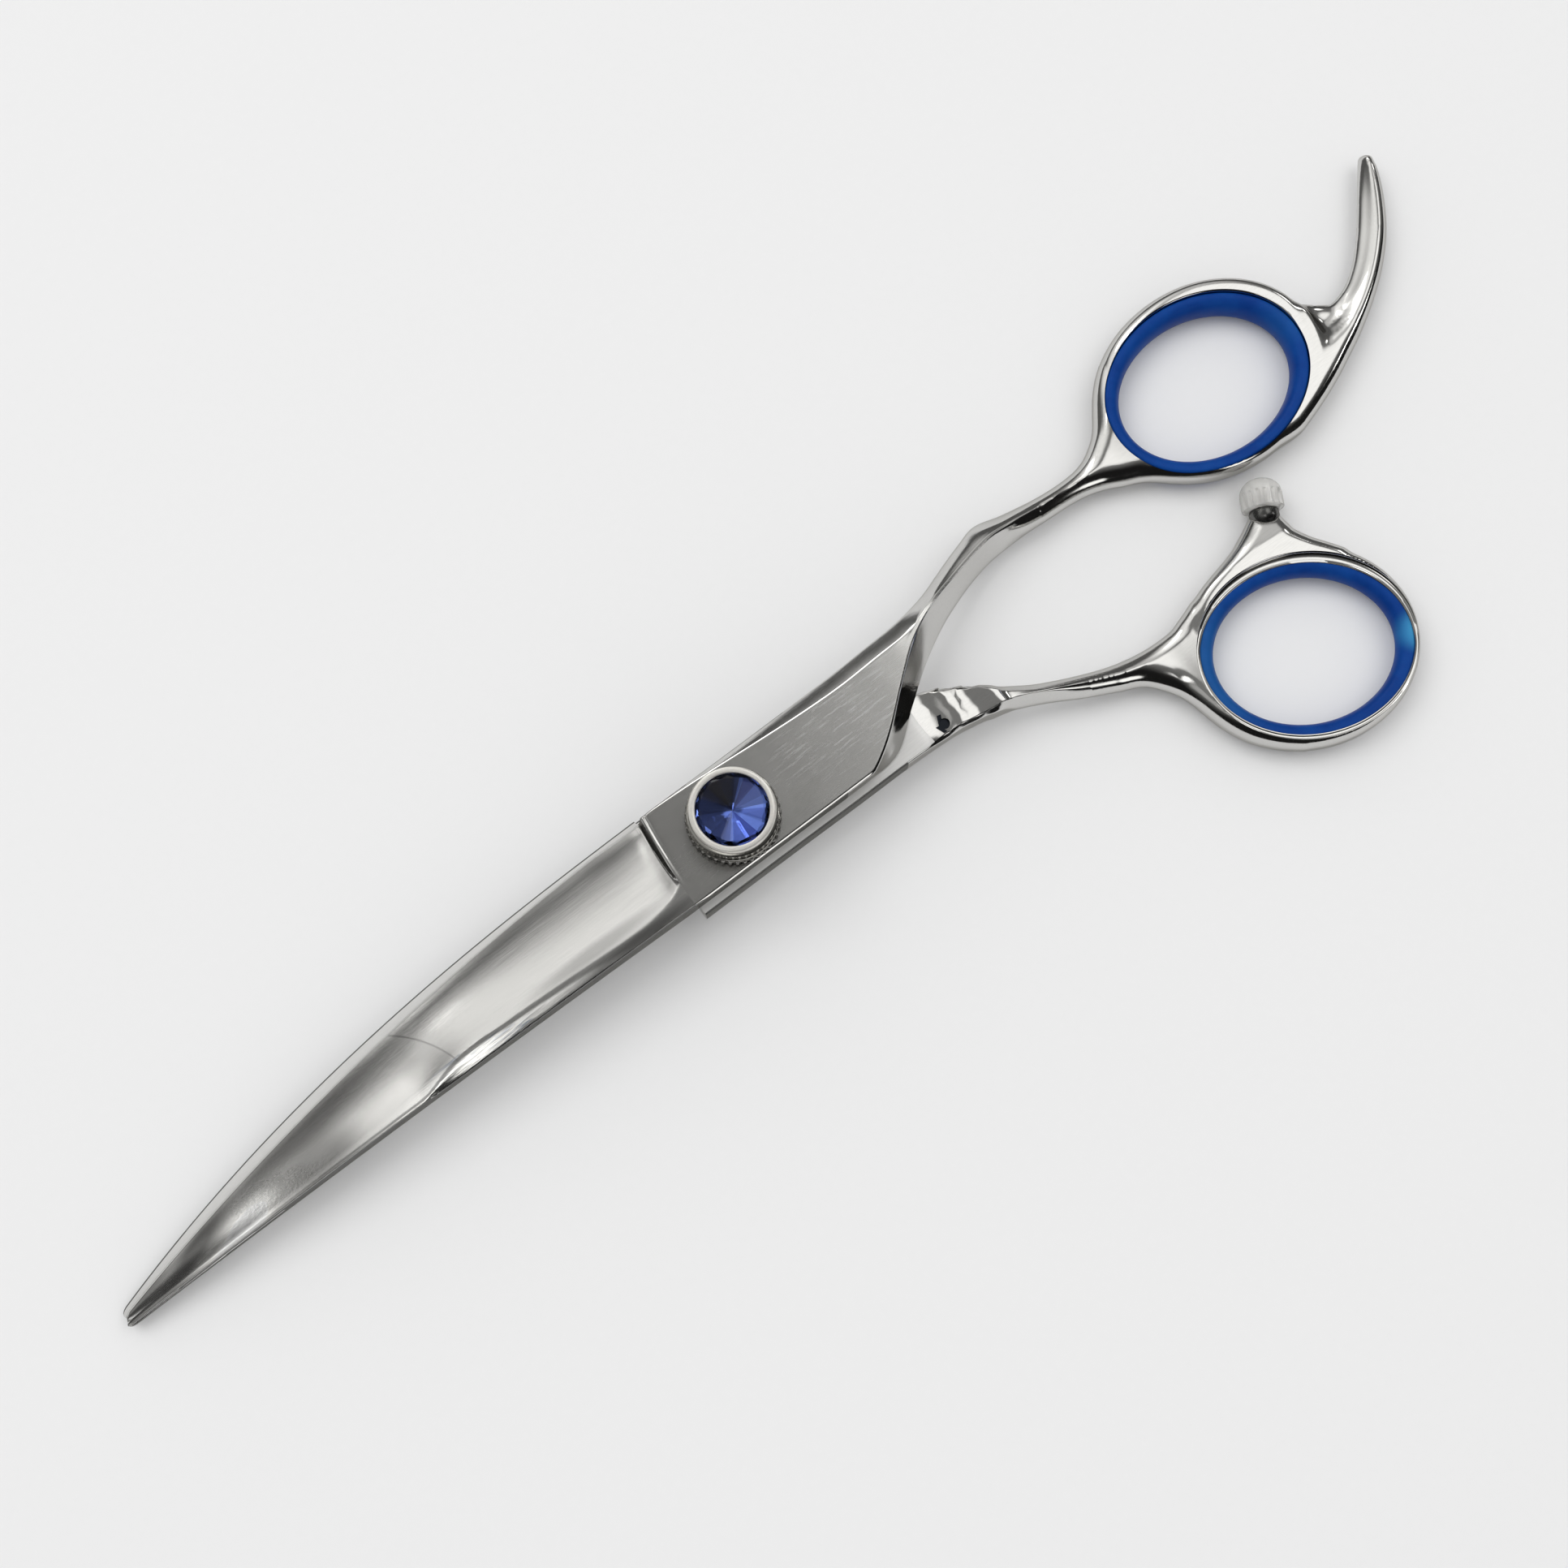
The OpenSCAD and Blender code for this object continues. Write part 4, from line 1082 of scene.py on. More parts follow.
def insert_piece(name, node, body, ring):
    """Soft insert with a straight back and a rounded lip that swells into the hole."""
    wall, fit, height = in_mm("soft", "wall", "fit", ring["name"] + "_height")
    half, step = height / 2, 0.32
    swell = [(0.0 if abs(f) == 90 else (wall - step) * math.cos(math.radians(f)) ** 0.8,
              half * math.sin(math.radians(f))) for f in np.linspace(-90, 90, 17)]
    section = [(0.0, -half + 0.3), (0.1, -half + 0.08)]
    section += [(step + out, z) for out, z in swell]
    section += [(0.1, half - 0.08), (0.0, half - 0.3)]
    rings = [[(*ring_point(ring, t, -fit - inward), z) for inward, z in section]
             for t in np.linspace(0, 2 * math.pi, 160, endpoint=False)]
    finish_piece(wrap(name, rings, loop=True), body, "insert_rubber", node, silicone(), 60)


class SHEARS_OT_inserts(bpy.types.Operator):
    """Mould the soft insert of each ring"""
    bl_idname = "shears.inserts"
    bl_label = "Ring inserts"

    def execute(self, context):
        insert_piece("finger_ring_insert", "finger_insert", "finger_side", FINGER_RING)
        insert_piece("thumb_ring_insert", "thumb_insert", "thumb_side", THUMB_RING)
        return {"FINISHED"}


class SHEARS_OT_bumper(bpy.types.Operator):
    """Turn the bumper's stud and mould its ribbed clear cap"""
    bl_idname = "shears.bumper"
    bl_label = "Bumper"

    def execute(self, context):
        cap_wide, collar = in_mm("soft", "cap", "collar")
        radius, base = cap_wide / 2, 1.3
        stud = lathe("bumper_post", [
            (0, -2.6), (0.85, -2.6), (0.9, -2.4), (0.95, -1.7), (1.35, -0.8), (1.62, -0.25),
            (1.74, 0.02), (1.8, 0.3), (1.8, 1.0), (1.72, 1.22), (1.5, base), (0.95, base),
            (0.9, 1.35), (0.9, 2.75), (0.8, 2.88), (0, 2.9)], 48)
        at_bumper(stud)
        # the stud is painted dark, as shade under the cap
        finish_piece(stud, "thumb_side", "polished_steel", "bumper_stud", edge_shade_steel())
        dome = [(radius * 0.985 * math.cos(t), base + collar + radius * 0.78 * math.sin(t))
                for t in np.linspace(0.06, math.pi / 2, 12)]
        profile = [(0.93, base + 0.02), (radius - 0.3, base), (radius - 0.08, base + 0.08)]
        profile += [(radius, base + 0.2 + (collar - 0.3) * k / 6) for k in range(7)]
        profile += dome + [(0, 4.6), (0.7, 4.5), (0.93, 4.2)]
        cap = lathe("bumper_cap_clear", profile, BUMPER_RIBS * 8)
        notch(cap, BUMPER_RIBS, 0.1, base + 0.1, base + collar, radius - 0.12, 2.2, True)
        at_bumper(cap)
        finish_piece(cap, "thumb_side", "clear_silicone", "bumper_cap", clear_silicone(), 40)
        return {"FINISHED"}


# ---- Dial and crystal ----

class SHEARS_OT_dial(bpy.types.Operator):
    """Turn and knurl the tension dial, its click plate and the bezel"""
    bl_idname = "shears.dial"
    bl_label = "Tension dial"

    def execute(self, context):
        wheel, bezel, inner = (size / 2 for size in in_mm("dial", "wheel", "bezel", "crystal"))
        teeth, clicks = context.scene.shears_dial.teeth, 40
        plate = lathe("click_ring", [
            (2.06, 8.1), (5.2, 8.1), (5.38, 8.16), (5.45, 8.28), (5.45, 8.55), (5.45, 8.82),
            (5.38, 8.94), (5.2, 9.0), (4.65, 9.0), (4.62, 8.72), (3.35, 8.72), (3.3, 9.0),
            (2.06, 9.0)], clicks * 6)
        notch(plate, clicks, 0.26, 8.12, 8.98, 5.25)
        finish_piece(plate, "thumb_side", "satin_steel", "click_plate", dark_steel())
        grip, seat = wheel - 0.03, bezel - 0.3
        knob = lathe("knurled_wheel", [
            (3.3, 9.3), (4.6, 9.22), (wheel - 0.22, 9.22), (wheel - 0.06, 9.28), (wheel, 9.4),
            (wheel, 9.72), (wheel - 0.05, 9.82), (wheel - 0.17, 9.88), (wheel - 0.17, 9.98),
            (grip, 10.06), (grip, 10.4), (grip, 10.8), (grip, 11.12), (wheel - 0.12, 11.26),
            (wheel - 0.3, 11.36), (seat, 11.38), (bezel - 0.34, 11.68), (4.0, 11.7),
            (3.3, 11.4)], teeth * 6)
        notch(knob, teeth, 0.24, 10.0, 11.2, wheel - 0.1, 1.2)
        finish_piece(knob, "dial", "satin_steel", "tension_dial", wheel_steel())
        ring = lathe("crystal_bezel", [
            (inner + 0.12, 11.72), (bezel - 0.42, 11.72), (seat, 11.8), (bezel - 0.12, 11.86),
            (bezel, 11.98), (bezel, 12.3), (bezel, 12.52), (bezel - 0.05, 12.64),
            (bezel - 0.14, 12.7), (inner + 0.12, 12.7), (inner + 0.02, 12.66),
            (inner - 0.02, 12.6), (inner + 0.02, 12.5), (inner + 0.12, 12.3)], 128)
        finish_piece(ring, "dial", "bezel_steel", "jewel_bezel", bezel_steel(), 40)
        return {"FINISHED"}


def lap(piece, angle, lean, x, z):
    """Grinds one flat facet that leans outwards and passes through a point."""
    normal = Vector((math.sin(lean) * math.cos(angle), math.sin(lean) * math.sin(angle),
                     math.cos(lean)))
    place = Vector((x * math.cos(angle), x * math.sin(angle), z)) * MM
    cut_off(piece, place, normal, "outer", near=1e-8)


class SHEARS_OT_crystal(bpy.types.Operator):
    """Cut the crystal with flat facets and silver its back"""
    bl_idname = "shears.crystal"
    bl_label = "Cut crystal"

    def execute(self, context):
        count = context.scene.shears_dial.facets
        radius = in_mm("dial", "crystal")[0] / 2 + 0.02
        piece = rod(count * 4, radius, CRYSTAL_POINT - CRYSTAL_BACK,
                    (0, 0, (CRYSTAL_POINT + CRYSTAL_BACK) / 2 * MM))
        piece.name = piece.data.name = "cut_crystal"
        crown = math.atan2(CRYSTAL_POINT - GIRDLE - 0.1, radius)
        pavilion = math.atan2(GIRDLE - 0.05 - CRYSTAL_BACK, radius)
        turn = 2 * math.pi / count
        # no two facets lean quite alike, so that they flash one by one
        for k in range(count):
            lap(piece, k * turn, crown + 0.004 * math.sin(5.3 * k), 0, CRYSTAL_POINT + 0.06)
            lap(piece, k * turn, math.pi - pavilion - 0.005 * math.sin(2.4 * k), 0, CRYSTAL_BACK)
        for k in range(count * 2):
            lap(piece, (k + 0.5) * turn / 2, math.radians(27 + 9 * math.sin(2.3 * k)),
                radius - 0.5, GIRDLE + 0.25)
        tidy_mesh(piece, 1e-7)
        paint(piece, crystal_glass(), crystal_silver())
        paint_faces(piece, 1, lambda c, n: n.z < -0.2)
        hand_over(piece, "dial", "jewel_glass", "jewel", "jewel_foil")
        return {"FINISHED"}


class SHEARS_OT_small_parts(bpy.types.Operator):
    """Finish the turned and stamped parts that come with the frame"""
    bl_idname = "shears.small_parts"
    bl_label = "Small parts"

    def execute(self, context):
        finishes = {
            "pivot_post": polished_steel, "post_key": polished_steel, "post_washer": nylon,
            "ride_washer": nylon, "bearing_bushing": brass, "dial_nut": brass,
            "wave_spring": wheel_steel, "detent_spring": wheel_steel,
            "detent_ball": polished_steel, "retaining_ring": dark_steel,
        }
        for node, finish in finishes.items():
            paint(frame["nodes"][node], finish())
        return {"FINISHED"}


# ---- Finishes ----

class Finish:
    """A node material while it is being mixed."""

    def __init__(self, name):
        self.material = bpy.data.materials.new(name)
        self.material.use_nodes = True
        self.nodes, self.links = self.material.node_tree.nodes, self.material.node_tree.links
        self.shader = self.nodes["Principled BSDF"]
        self.here = self.node("TexCoord").outputs["Object"]

    def put(self, socket, value):
        """Gives a socket a number, a colour, or what another node hands on."""
        if isinstance(value, bpy.types.NodeSocket):
            self.links.new(value, socket)
        else:
            socket.default_value = (*value, 1) if socket.type == "RGBA" else value

    def node(self, kind, inputs=(), **settings):
        """Adds a node with these settings, and fills its inputs by name or number."""
        node = self.nodes.new("ShaderNode" + kind)
        for key, value in settings.items():
            setattr(node, key, value)
        for key, value in dict(inputs).items():
            self.put(node.inputs[key], value)
        return node

    def shade(self, **inputs):
        """Fills inputs of the shader, with underscores for the spaces in their names."""
        for key, value in inputs.items():
            self.put(self.shader.inputs[key.replace("_", " ")], value)

    def drawn(self, scale, turn):
        """Coordinates turned about Z and scaled, for a pattern with a direction."""
        return self.node("Mapping", {"Vector": self.here, "Scale": scale,
                                     "Rotation": (0, 0, math.radians(turn))}).outputs["Vector"]

    def noise(self, vector, scale=1.0, detail=3.0, roughness=0.5):
        """Noise on a vector."""
        return self.node("TexNoise", {"Vector": vector, "Scale": scale, "Detail": detail,
                                      "Roughness": roughness}).outputs["Fac"]

    def spread(self, value, low, high, to_low=0.0, to_high=1.0, smooth_step=False):
        """Maps a value from one range to another, clamped."""
        return self.node("MapRange", {
            "Value": value, "From Min": low, "From Max": high, "To Min": to_low,
            "To Max": to_high,
        }, interpolation_type="SMOOTHSTEP" if smooth_step else "LINEAR").outputs["Result"]

    def maths(self, operation, a, b=0.0):
        """Maths on one or two values."""
        return self.node("Math", {0: a, 1: b}, operation=operation).outputs["Value"]

    def add(self, *values):
        """Sum of values."""
        total = values[-1]
        for value in reversed(values[:-1]):
            total = self.maths("ADD", value, total)
        return total

    def times(self, a, b):
        """Product of two values."""
        return self.maths("MULTIPLY", a, b)

    def measure(self, operation, a, b=(0, 0, 0)):
        """A number taken from vectors, such as a length, a distance or a dot product."""
        return self.node("VectorMath", {0: a, 1: b}, operation=operation).outputs["Value"]

    def axis(self, name, vector=None):
        """One axis of a vector, or of the coordinates."""
        return self.node("SeparateXYZ", {"Vector": vector or self.here}).outputs[name]

    def zone(self, centre, turn, half_long, half_wide, core=0.3):
        """Soft oval patch, in millimetres, that is 1 in its core and 0 outside."""
        inside = self.node("Mapping", {
            "Vector": self.here, "Location": (centre[0] * MM, centre[1] * MM, 0),
            "Rotation": (0, 0, math.radians(turn)),
            "Scale": (half_long * MM, half_wide * MM, 10),
        }, vector_type="TEXTURE").outputs["Vector"]
        return self.spread(self.measure("LENGTH", inside), 1.0, core, smooth_step=True)

    def blend(self, share, below, above):
        """Mixes two colours, or a colour on to what is there, by a share."""
        return self.node("Mix", {0: share, 6: below, 7: above}, data_type="RGBA").outputs[2]

    def bump(self, height, strength, distance=0.00002):
        """Raises a height on the shader's normal."""
        self.shade(Normal=self.node("Bump", {"Height": height, "Strength": strength,
                                             "Distance": distance}).outputs["Normal"])


def finish(name):
    """Makes a recipe into a function that mixes its material once and then hands it out."""
    def keep(recipe):
        def ready():
            if name not in bpy.data.materials:
                recipe(Finish(name))
            return bpy.data.materials[name]
        return ready
    return keep


def tinted(tint, factor):
    """A colour made lighter or darker."""
    return [c * factor for c in tint]


# Colour that steel has where it is seen edge on
STEEL_SHEEN = (0.60, 0.59, 0.57)


def steel(name, roughness, swing, scratch, scale, turn=0, tint=None, metal=1.0, marks=0.0):
    """Steel with smudges, fine lines in one direction and a few longer scratches; with marks, also
    painted shade that darkens it towards the shoulder.
    """
    if name in bpy.data.materials:
        return bpy.data.materials[name]
    mix = Finish(name)
    tint = tint or bpy.context.scene.shears_studio.steel
    smudge = mix.noise(mix.here, 160, 4, 0.6)
    lines = mix.noise(mix.drawn(scale, turn), 1.0, 4, 0.65)
    rough = mix.add(mix.spread(smudge, 0.35, 0.7, roughness - swing, roughness + swing),
                    mix.spread(lines, 0.45, 0.75, 0.0, swing))
    height = lines
    colour_here = mix.blend(mix.spread(lines, 0.35, 0.65), tinted(tint, 0.93), tint)
    if marks:
        few = mix.noise(mix.drawn((260, 3200, 900), 118), 1.0, 3, 0.6)
        few = mix.times(mix.spread(few, 0.54, 0.66, 0, marks),
                        mix.zone((18, 1.5), 0, 15, 6.5, 0.2))
        rough = mix.add(rough, mix.times(few, 0.25))
        height = mix.maths("SUBTRACT", lines, few)
        colour_here = mix.blend(few, colour_here, (0.95, 0.95, 0.96))
        # painted shade: darkest at the shoulder end of the tang, fading out towards the shank
        dim = mix.spread(mix.axis("X"), -12 * MM, 34 * MM, 0.42, 0.0)
        colour_here = mix.blend(dim, colour_here, (0.25, 0.25, 0.235))
    mix.shade(Metallic=metal, Base_Color=colour_here, Roughness=rough,
              Specular_Tint=STEEL_SHEEN)
    mix.bump(height, scratch)
    return mix.material


def polished_steel():
    """Mirror polish of the rings, shanks and edges."""
    return steel("polished_steel_finish", roughness=0.10, swing=0.03, scratch=0.15,
                 scale=(500, 9000, 9000), turn=30)


def satin_steel():
    """Finely rubbed face of the tang, with painted shade towards the shoulder."""
    return steel("satin_steel_finish", roughness=0.25, swing=0.03, scratch=0.12,
                 scale=(900, 22000, 9000), turn=38, marks=0.6)


def ride_painted_sheen_steel():
    """Finely lapped riding face of the lower half, in paler, half-metallic steel that paints on
    its bright sheen.
    """
    return steel("lapped_ride_sheen_finish", roughness=0.34, swing=0.04, scratch=0.2,
                 scale=(400, 9000, 6000), turn=4, tint=(0.74, 0.735, 0.72), metal=0.42)


def edge_shade_steel():
    """Ground edges of the blades and tangs, and the bumper's stud, in dark steel: painted shade in
    place of the dark reflections on the edges and the shade on the stud.
    """
    return steel("edge_painted_shade_finish", roughness=0.26, swing=0.05, scratch=0.2,
                 scale=(500, 5000, 9000), tint=(0.16, 0.16, 0.155))


def pocket_shade_steel():
    """Nearly black steel inside the drilled pocket: painted shade of the recess."""
    return steel("pocket_painted_shade_finish", roughness=0.4, swing=0.08, scratch=0.3,
                 scale=(2000, 2000, 2000), tint=(0.03, 0.034, 0.042))


def dark_steel():
    """Darker steel of the click plate, with oil in its notches."""
    return steel("dark_steel_finish", roughness=0.3, swing=0.06, scratch=0.4,
                 scale=(3000, 3000, 3000), tint=(0.33, 0.325, 0.31))


def wheel_steel():
    """Plated steel of the knurled wheel and the springs."""
    return steel("wheel_steel_finish", roughness=0.16, swing=0.05, scratch=0.3,
                 scale=(3000, 3000, 6000), tint=(0.42, 0.41, 0.38), metal=0.95)


def bezel_steel():
    """Warm satin plating of the bezel."""
    return steel("bezel_steel_finish", roughness=0.34, swing=0.06, scratch=0.3,
                 scale=(5000, 5000, 9000), tint=(0.88, 0.86, 0.81), metal=0.75)


def brass():
    """Brass of the bushing and the dial's nut."""
    return steel("brass_finish", roughness=0.28, swing=0.06, scratch=0.3,
                 scale=(2000, 2000, 6000), tint=(0.74, 0.55, 0.24))


def painted_reflection_arc(mix, colour_here, tint):
    """Paints the arc of a reflection's edge across the face as a dark line, with painted shade on
    its tip side.
    """
    x, y, radius = PAINTED_REFLECTION_ARC
    flat = mix.node("VectorMath", {0: mix.here, 1: (1, 1, 0)}, operation="MULTIPLY")
    away = mix.measure("DISTANCE", flat.outputs["Vector"], (x * MM, y * MM, 0))
    inside = mix.spread(away, (radius - 0.15) * MM, (radius + 0.15) * MM, 1, 0)
    near = mix.zone((-45, 0), 0, 9, 9, 0.5)
    off_line = mix.maths("ABSOLUTE", mix.maths("SUBTRACT", away, radius * MM))
    line = mix.spread(off_line, 0, 0.16 * MM, 0.55, 0)
    colour_here = mix.blend(mix.times(line, near), colour_here, tinted(tint, 0.3))
    return mix.blend(mix.times(mix.times(inside, near), 0.08), colour_here, tinted(tint, 0.4))


@finish("ground_steel_finish")
def ground_steel(mix):
    """Hollow ground face of the blades: drawn lines, rubbed streaks, a painted reflection edge,
    and patches of painted shade and painted highlight.
    """
    tint = bpy.context.scene.shears_studio.steel
    fine = mix.noise(mix.drawn((250, 12000, 6000), -4), 1, 4)
    broad = mix.noise(mix.drawn((35, 420, 100), -5), 1, 3)
    colour_here = mix.blend(mix.spread(fine, 0.3, 0.7), tinted(tint, 0.9), tint)
    colour_here = mix.blend(mix.spread(broad, 0.45, 0.7, 0, 0.22), colour_here,
                            tinted(tint, 0.6))
    # a painted reflection edge crosses the face in an arc, with painted shade on its tip side
    colour_here = painted_reflection_arc(mix, colour_here, tint)
    # rubbed streaks along the spine and a coarse patch near the tip
    rub = mix.times(mix.noise(mix.drawn((260, 3400, 600), -5), 1, 3, 0.6),
                    mix.zone((-39, -3.9), -3, 14, 2.3, 0.4))
    colour_here = mix.blend(mix.spread(rub, 0.46, 0.6, 0, 0.75), colour_here,
                            (0.20, 0.23, 0.29))
    coarse = mix.times(mix.noise(mix.here, 2600, 3, 0.7),
                       mix.zone((-65, -1.6), -12, 11, 3.2, 0.2))
    # patches of painted shade and painted highlight, in place of the hollow's reflections
    for centre, turn, half_long, half_wide, share, factor in GRIND_PAINTED_SHADING:
        patch = mix.times(share, mix.zone(centre, turn, half_long, half_wide, 0.25))
        colour_here = mix.blend(patch, colour_here, tinted(tint, factor))
    rough = mix.add(mix.spread(fine, 0.35, 0.7, 0.17, 0.26),
                    mix.spread(coarse, 0.3, 0.6, 0.0, 0.12))
    mix.shade(Metallic=1.0, Base_Color=colour_here, Roughness=rough,
              Specular_Tint=STEEL_SHEEN)
    mix.bump(mix.add(mix.times(fine, 0.3), mix.times(rub, 1.5), mix.times(coarse, 3.0)),
             0.35, 0.00003)


@finish("nylon_finish")
def nylon(mix):
    """Pale nylon of the thin washers."""
    mottle = mix.noise(mix.here, 900)
    mix.shade(Base_Color=(0.74, 0.72, 0.64), Roughness=mix.spread(mottle, 0.3, 0.7, 0.42, 0.6))
    mix.bump(mottle, 0.2)


@finish("blue_silicone")
def silicone(mix):
    """Deep blue silicone, a little see-through, with a faint bloom and pale painted glows for
    light shining through.
    """
    tint = bpy.context.scene.shears_soft.insert_colour
    bloom = mix.noise(mix.here, 260, 4, 0.6)
    colour_here = mix.blend(mix.spread(bloom, 0.35, 0.7), tinted(tint, 0.85),
                            (tint[0] * 1.5, tint[1] * 1.3, tint[2] * 1.1))
    # painted glows where light would shine through the insert
    for place, reach, share in INSERT_PAINTED_GLOWS:
        gap = mix.measure("DISTANCE", mix.here, Vector(place) * MM)
        glow = mix.spread(gap, reach * MM, reach * 0.25 * MM, 0.0, share, True)
        colour_here = mix.blend(glow, colour_here, (0.06, 0.36, 0.62))
    mix.shade(Base_Color=colour_here, Roughness=mix.spread(bloom, 0.3, 0.7, 0.34, 0.5),
              IOR=1.41, Specular_IOR_Level=0.15, Subsurface_Weight=0.15,
              Subsurface_Radius=(0.2, 0.5, 1.0), Subsurface_Scale=0.0012)
    mix.bump(mix.noise(mix.here, 5000, 2), 0.12)


@finish("clear_silicone_finish")
def clear_silicone(mix):
    """Clear silicone of the bumper, slightly milky."""
    milk = mix.noise(mix.here, 700)
    mix.shade(Base_Color=bpy.context.scene.shears_soft.cap_colour,
              Roughness=mix.spread(milk, 0.3, 0.7, 0.04, 0.12), Transmission_Weight=0.6,
              IOR=1.3, Subsurface_Weight=0.3, Subsurface_Radius=(1, 1, 1),
              Subsurface_Scale=0.001)
    mix.bump(milk, 0.05)


@finish("crystal_glass_finish")
def crystal_glass(mix):
    """Blue glass of the crystal, which light crosses twice on its way back out."""
    tint = [c**0.5 for c in bpy.context.scene.shears_dial.crystal_colour]
    cloud = mix.noise(mix.here, 500, 2)
    mix.shade(Base_Color=mix.blend(cloud, tint, [min(1.0, c * 1.12) for c in tint]),
              Roughness=0.0, Transmission_Weight=1.0, IOR=1.32)


@finish("crystal_silver_finish")
def crystal_silver(mix):
    """Silvering on the crystal's back facets, each with a painted tone of its own that stands in
    for the reflection it gives.
    """
    count = bpy.context.scene.shears_dial.facets
    angle = mix.maths("ARCTAN2", mix.axis("Y"), mix.axis("X"))
    sector = mix.add(mix.times(angle, count / (2 * math.pi)), count + 0.5)
    sector = mix.maths("MODULO", mix.maths("FLOOR", sector), count)
    # painted reflection: a tone of its own for each facet
    tone = mix.node("TexWhiteNoise", {"W": sector}, noise_dimensions="1D").outputs["Value"]
    cloud = mix.noise(mix.here, 900, 2)
    mix.shade(Metallic=1.0, Roughness=mix.spread(cloud, 0.3, 0.7, 0.02, 0.08),
              Base_Color=mix.blend(tone, (0.22, 0.23, 0.4), (0.85, 0.9, 0.95)))


@finish("floor_paper")
def floor_paper(mix):
    """Matt paper of the floor, with a faint grain."""
    tone = bpy.context.scene.shears_studio.floor
    grain = mix.noise(mix.here, 900)
    mix.shade(Base_Color=mix.blend(grain, tinted(tone, 0.985), tone), Roughness=0.75,
              Specular_IOR_Level=0.1)


@finish("light_tent_cloth")
def light_tent_cloth(mix):
    """Glowing cloth of the light tent, brighter on its far side and in its panels."""
    mix.nodes.remove(mix.shader)
    unit = mix.node("VectorMath", {0: mix.here}, operation="NORMALIZE").outputs["Vector"]
    far_side = mix.measure("DOT_PRODUCT", unit, (0.10, 0.93, 0.20))
    level = mix.times(mix.spread(far_side, -0.28, 0.33, 0.04, 1.0, True),
                      mix.spread(mix.axis("Z", unit), 0.3, 0.9, 0.12, 0.25, True))
    for direction, full, gone, strength in TENT_PANELS:
        facing = mix.measure("DOT_PRODUCT", unit, Vector(direction).normalized())
        glow = mix.spread(facing, math.cos(math.radians(gone)), math.cos(math.radians(full)),
                          0.0, strength, True)
        level = mix.add(glow, level)
    glow = mix.node("Emission", {"Color": (1.0, 0.995, 0.98),
                                 "Strength": mix.maths("MAXIMUM", level, 0.012)})
    mix.links.new(glow.outputs["Emission"], mix.nodes["Material Output"].inputs["Surface"])


# ---- Studio ----

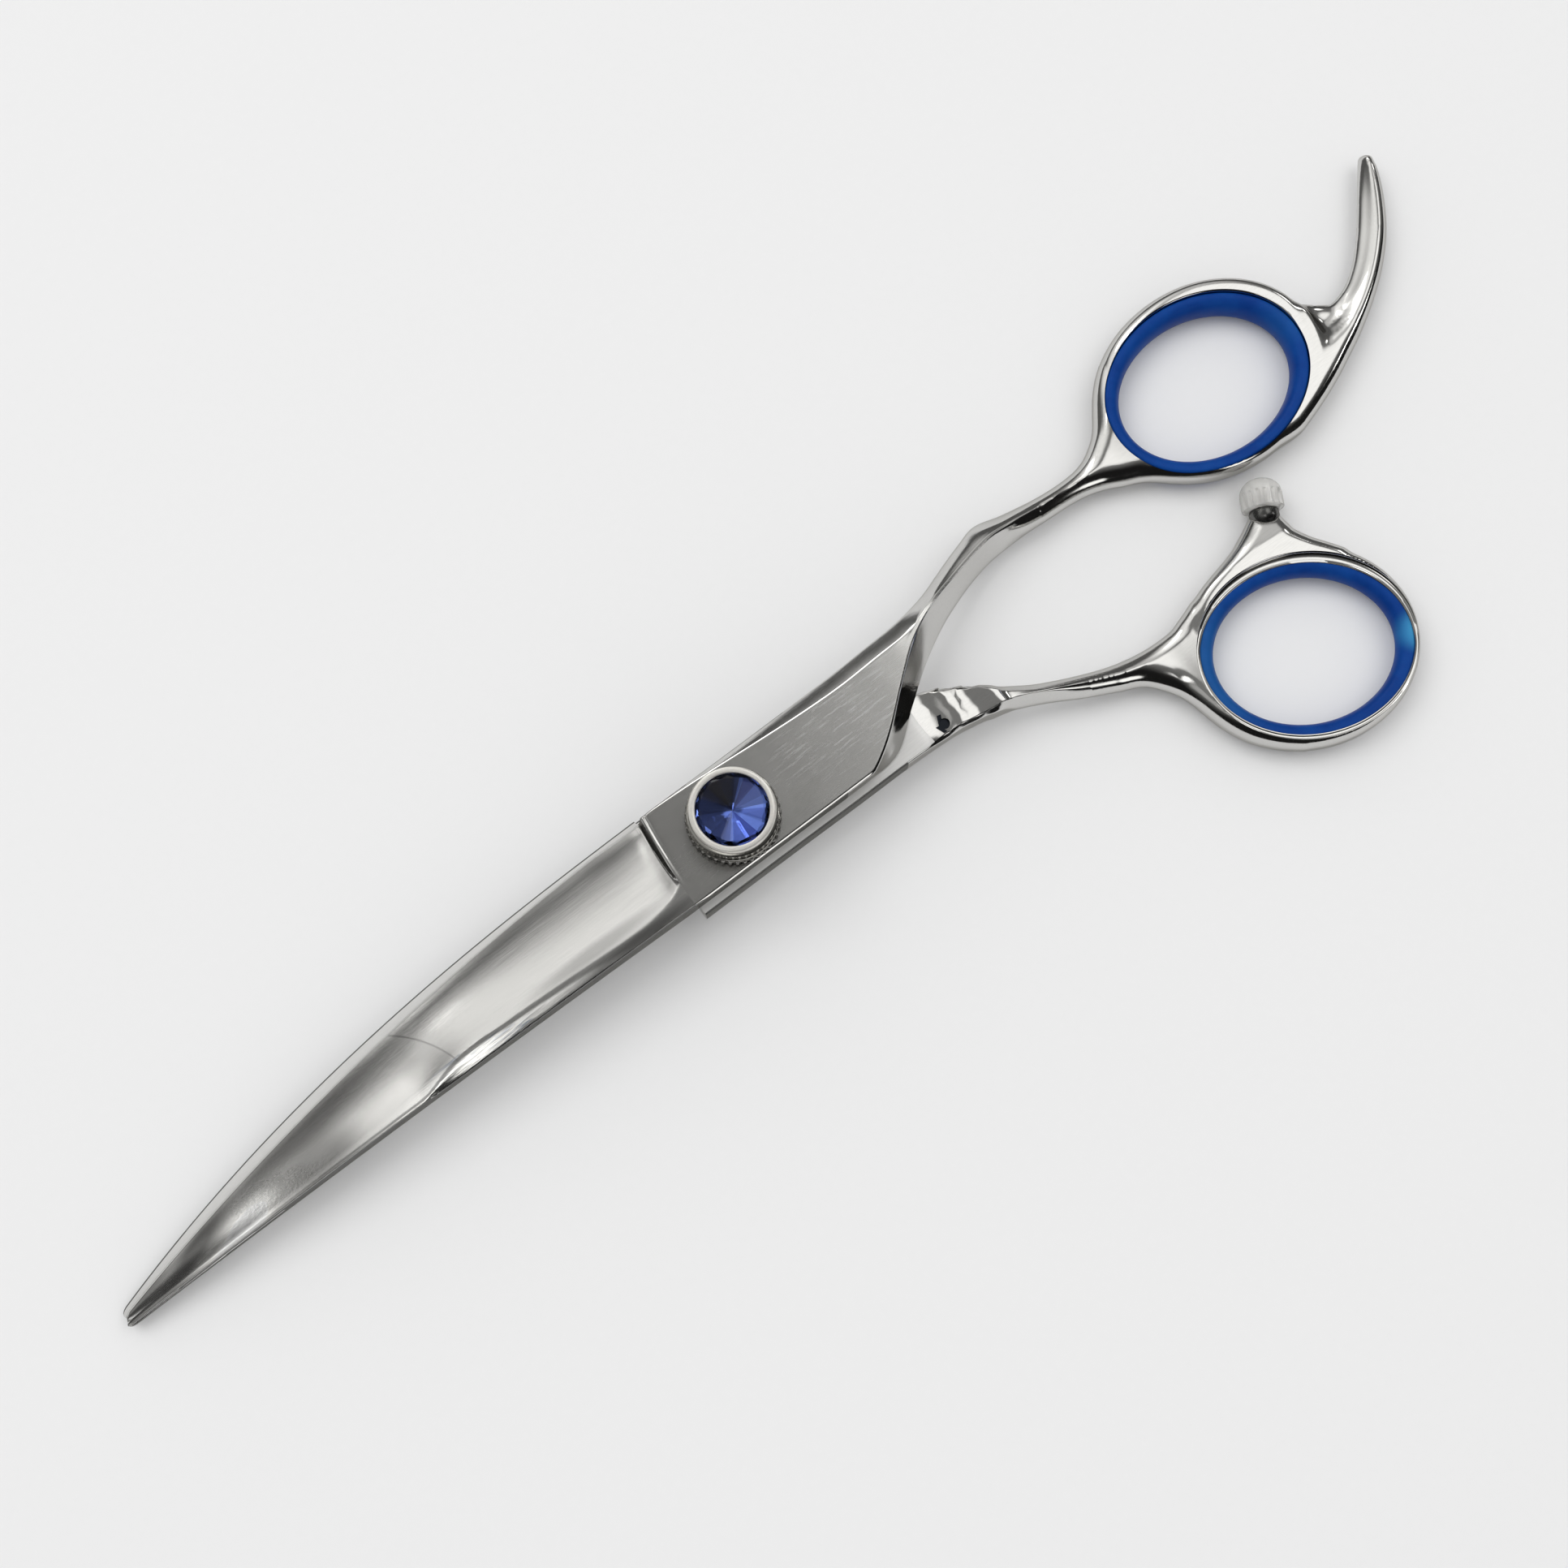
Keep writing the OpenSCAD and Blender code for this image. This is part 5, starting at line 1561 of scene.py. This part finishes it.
class SHEARS_OT_studio(bpy.types.Operator):
    """Lay the floor, hang the soft lights and set up the camera"""
    bl_idname = "shears.studio"
    bl_label = "Studio"

    def execute(self, context):
        scene = context.scene
        scene.view_settings.view_transform = "Standard"
        self.floor(context)
        self.tent(context)
        self.lamps(scene, scene.shears_studio.level)
        self.camera(scene)
        return {"FINISHED"}

    def floor(self, context):
        """A round sheet of paper under the shears."""
        bpy.ops.object.select_all(action="DESELECT")
        bpy.ops.mesh.primitive_circle_add(vertices=96, radius=FLOOR_RADIUS, fill_type="NGON",
                                          location=(0, 0, FLOOR_LEVEL))
        floor = context.active_object
        floor.name = "floor"
        paint(floor, floor_paper())

    def tent(self, context):
        """A large shell with soft panels, which only gloss and glass show."""
        bpy.ops.object.select_all(action="DESELECT")
        bpy.ops.mesh.primitive_uv_sphere_add(segments=64, ring_count=32, radius=TENT_RADIUS)
        tent = context.active_object
        tent.name = "light_tent"
        tent.visible_camera = tent.visible_diffuse = tent.visible_shadow = False
        tent.visible_volume_scatter = False
        paint(tent, light_tent_cloth())

    def lamps(self, scene, level):
        """Soft lamps over the table and an even surround."""
        world = bpy.data.worlds.new("surround")
        scene.world = world
        world.use_nodes = True
        background = world.node_tree.nodes["Background"]
        background.inputs["Color"].default_value = SURROUND
        background.inputs["Strength"].default_value = SURROUND_STRENGTH * level
        for name, place, size, power in LAMPS:
            data = bpy.data.lights.new(name, "AREA")
            data.shape = "DISK"
            data.size = size
            data.energy = power * level
            lamp = bpy.data.objects.new(name, data)
            scene.collection.objects.link(lamp)
            lamp.location = place
            lamp.rotation_euler = (-Vector(place)).to_track_quat("-Z", "Y").to_euler()
            lamp.visible_glossy = False
            lamp.visible_transmission = False

    def camera(self, scene):
        """A camera above the table, turned so that the shears lie across the picture."""
        data = bpy.data.cameras.new("camera")
        data.sensor_width, data.lens = FILM_WIDTH, LENS
        data.clip_start, data.clip_end = 0.01, 20
        camera = bpy.data.objects.new("camera", data)
        scene.collection.objects.link(camera)
        tilt = math.radians(CAMERA_TILT)
        right = Vector(CAMERA_RIGHT).normalized()
        level_up = Vector((right.y * -1, right.x, 0))
        back = Vector((0, 0, math.cos(tilt))) - level_up * math.sin(tilt)
        up = back.cross(right)
        camera.location = Vector(CAMERA_TARGET) * MM + back * CAMERA_DISTANCE
        camera.rotation_euler = Matrix(
            [(right[i], up[i], back[i]) for i in range(3)]).to_euler()
        scene.camera = camera


# ---- Panel, registration and the run ----

class SHEARS_PT_panel(bpy.types.Panel):
    """Sizes, colours and steps of the shears"""
    bl_idname = "SHEARS_PT_panel"
    bl_label = "Shears"
    bl_space_type = "VIEW_3D"
    bl_region_type = "UI"
    bl_category = "Shears"

    def draw(self, context):
        for group in ("halves", "rings", "soft", "dial", "studio"):
            settings = getattr(context.scene, "shears_" + group)
            box = self.layout.box()
            box.label(text=group.title())
            for key in settings.__annotations__:
                box.prop(settings, key)
        for step in STEPS:
            self.layout.operator(step.bl_idname)


STEPS = (SHEARS_OT_studio, SHEARS_OT_finger_half, SHEARS_OT_thumb_half, SHEARS_OT_inserts,
         SHEARS_OT_bumper, SHEARS_OT_dial, SHEARS_OT_crystal, SHEARS_OT_small_parts)
GROUPS = {"halves": ShearsHalves, "rings": ShearsRings, "soft": ShearsSoft,
          "dial": ShearsDial, "studio": ShearsStudio}


def register():
    """Registers the groups, the operators and the panel."""
    for name, group in GROUPS.items():
        bpy.utils.register_class(group)
        setattr(bpy.types.Scene, "shears_" + name, bpy.props.PointerProperty(type=group))
    for step in STEPS:
        bpy.utils.register_class(step)
    bpy.utils.register_class(SHEARS_PT_panel)


def unregister():
    """Takes the panel, the operators and the groups away again."""
    bpy.utils.unregister_class(SHEARS_PT_panel)
    for step in reversed(STEPS):
        bpy.utils.unregister_class(step)
    for name, group in reversed(GROUPS.items()):
        delattr(bpy.types.Scene, "shears_" + name)
        bpy.utils.unregister_class(group)


def main():
    """Builds everything in order."""
    register()
    for step in STEPS:
        area, name = step.bl_idname.split(".")
        getattr(getattr(bpy.ops, area), name)()
    bpy.context.view_layer.update()


if __name__ == "__main__":
    main()
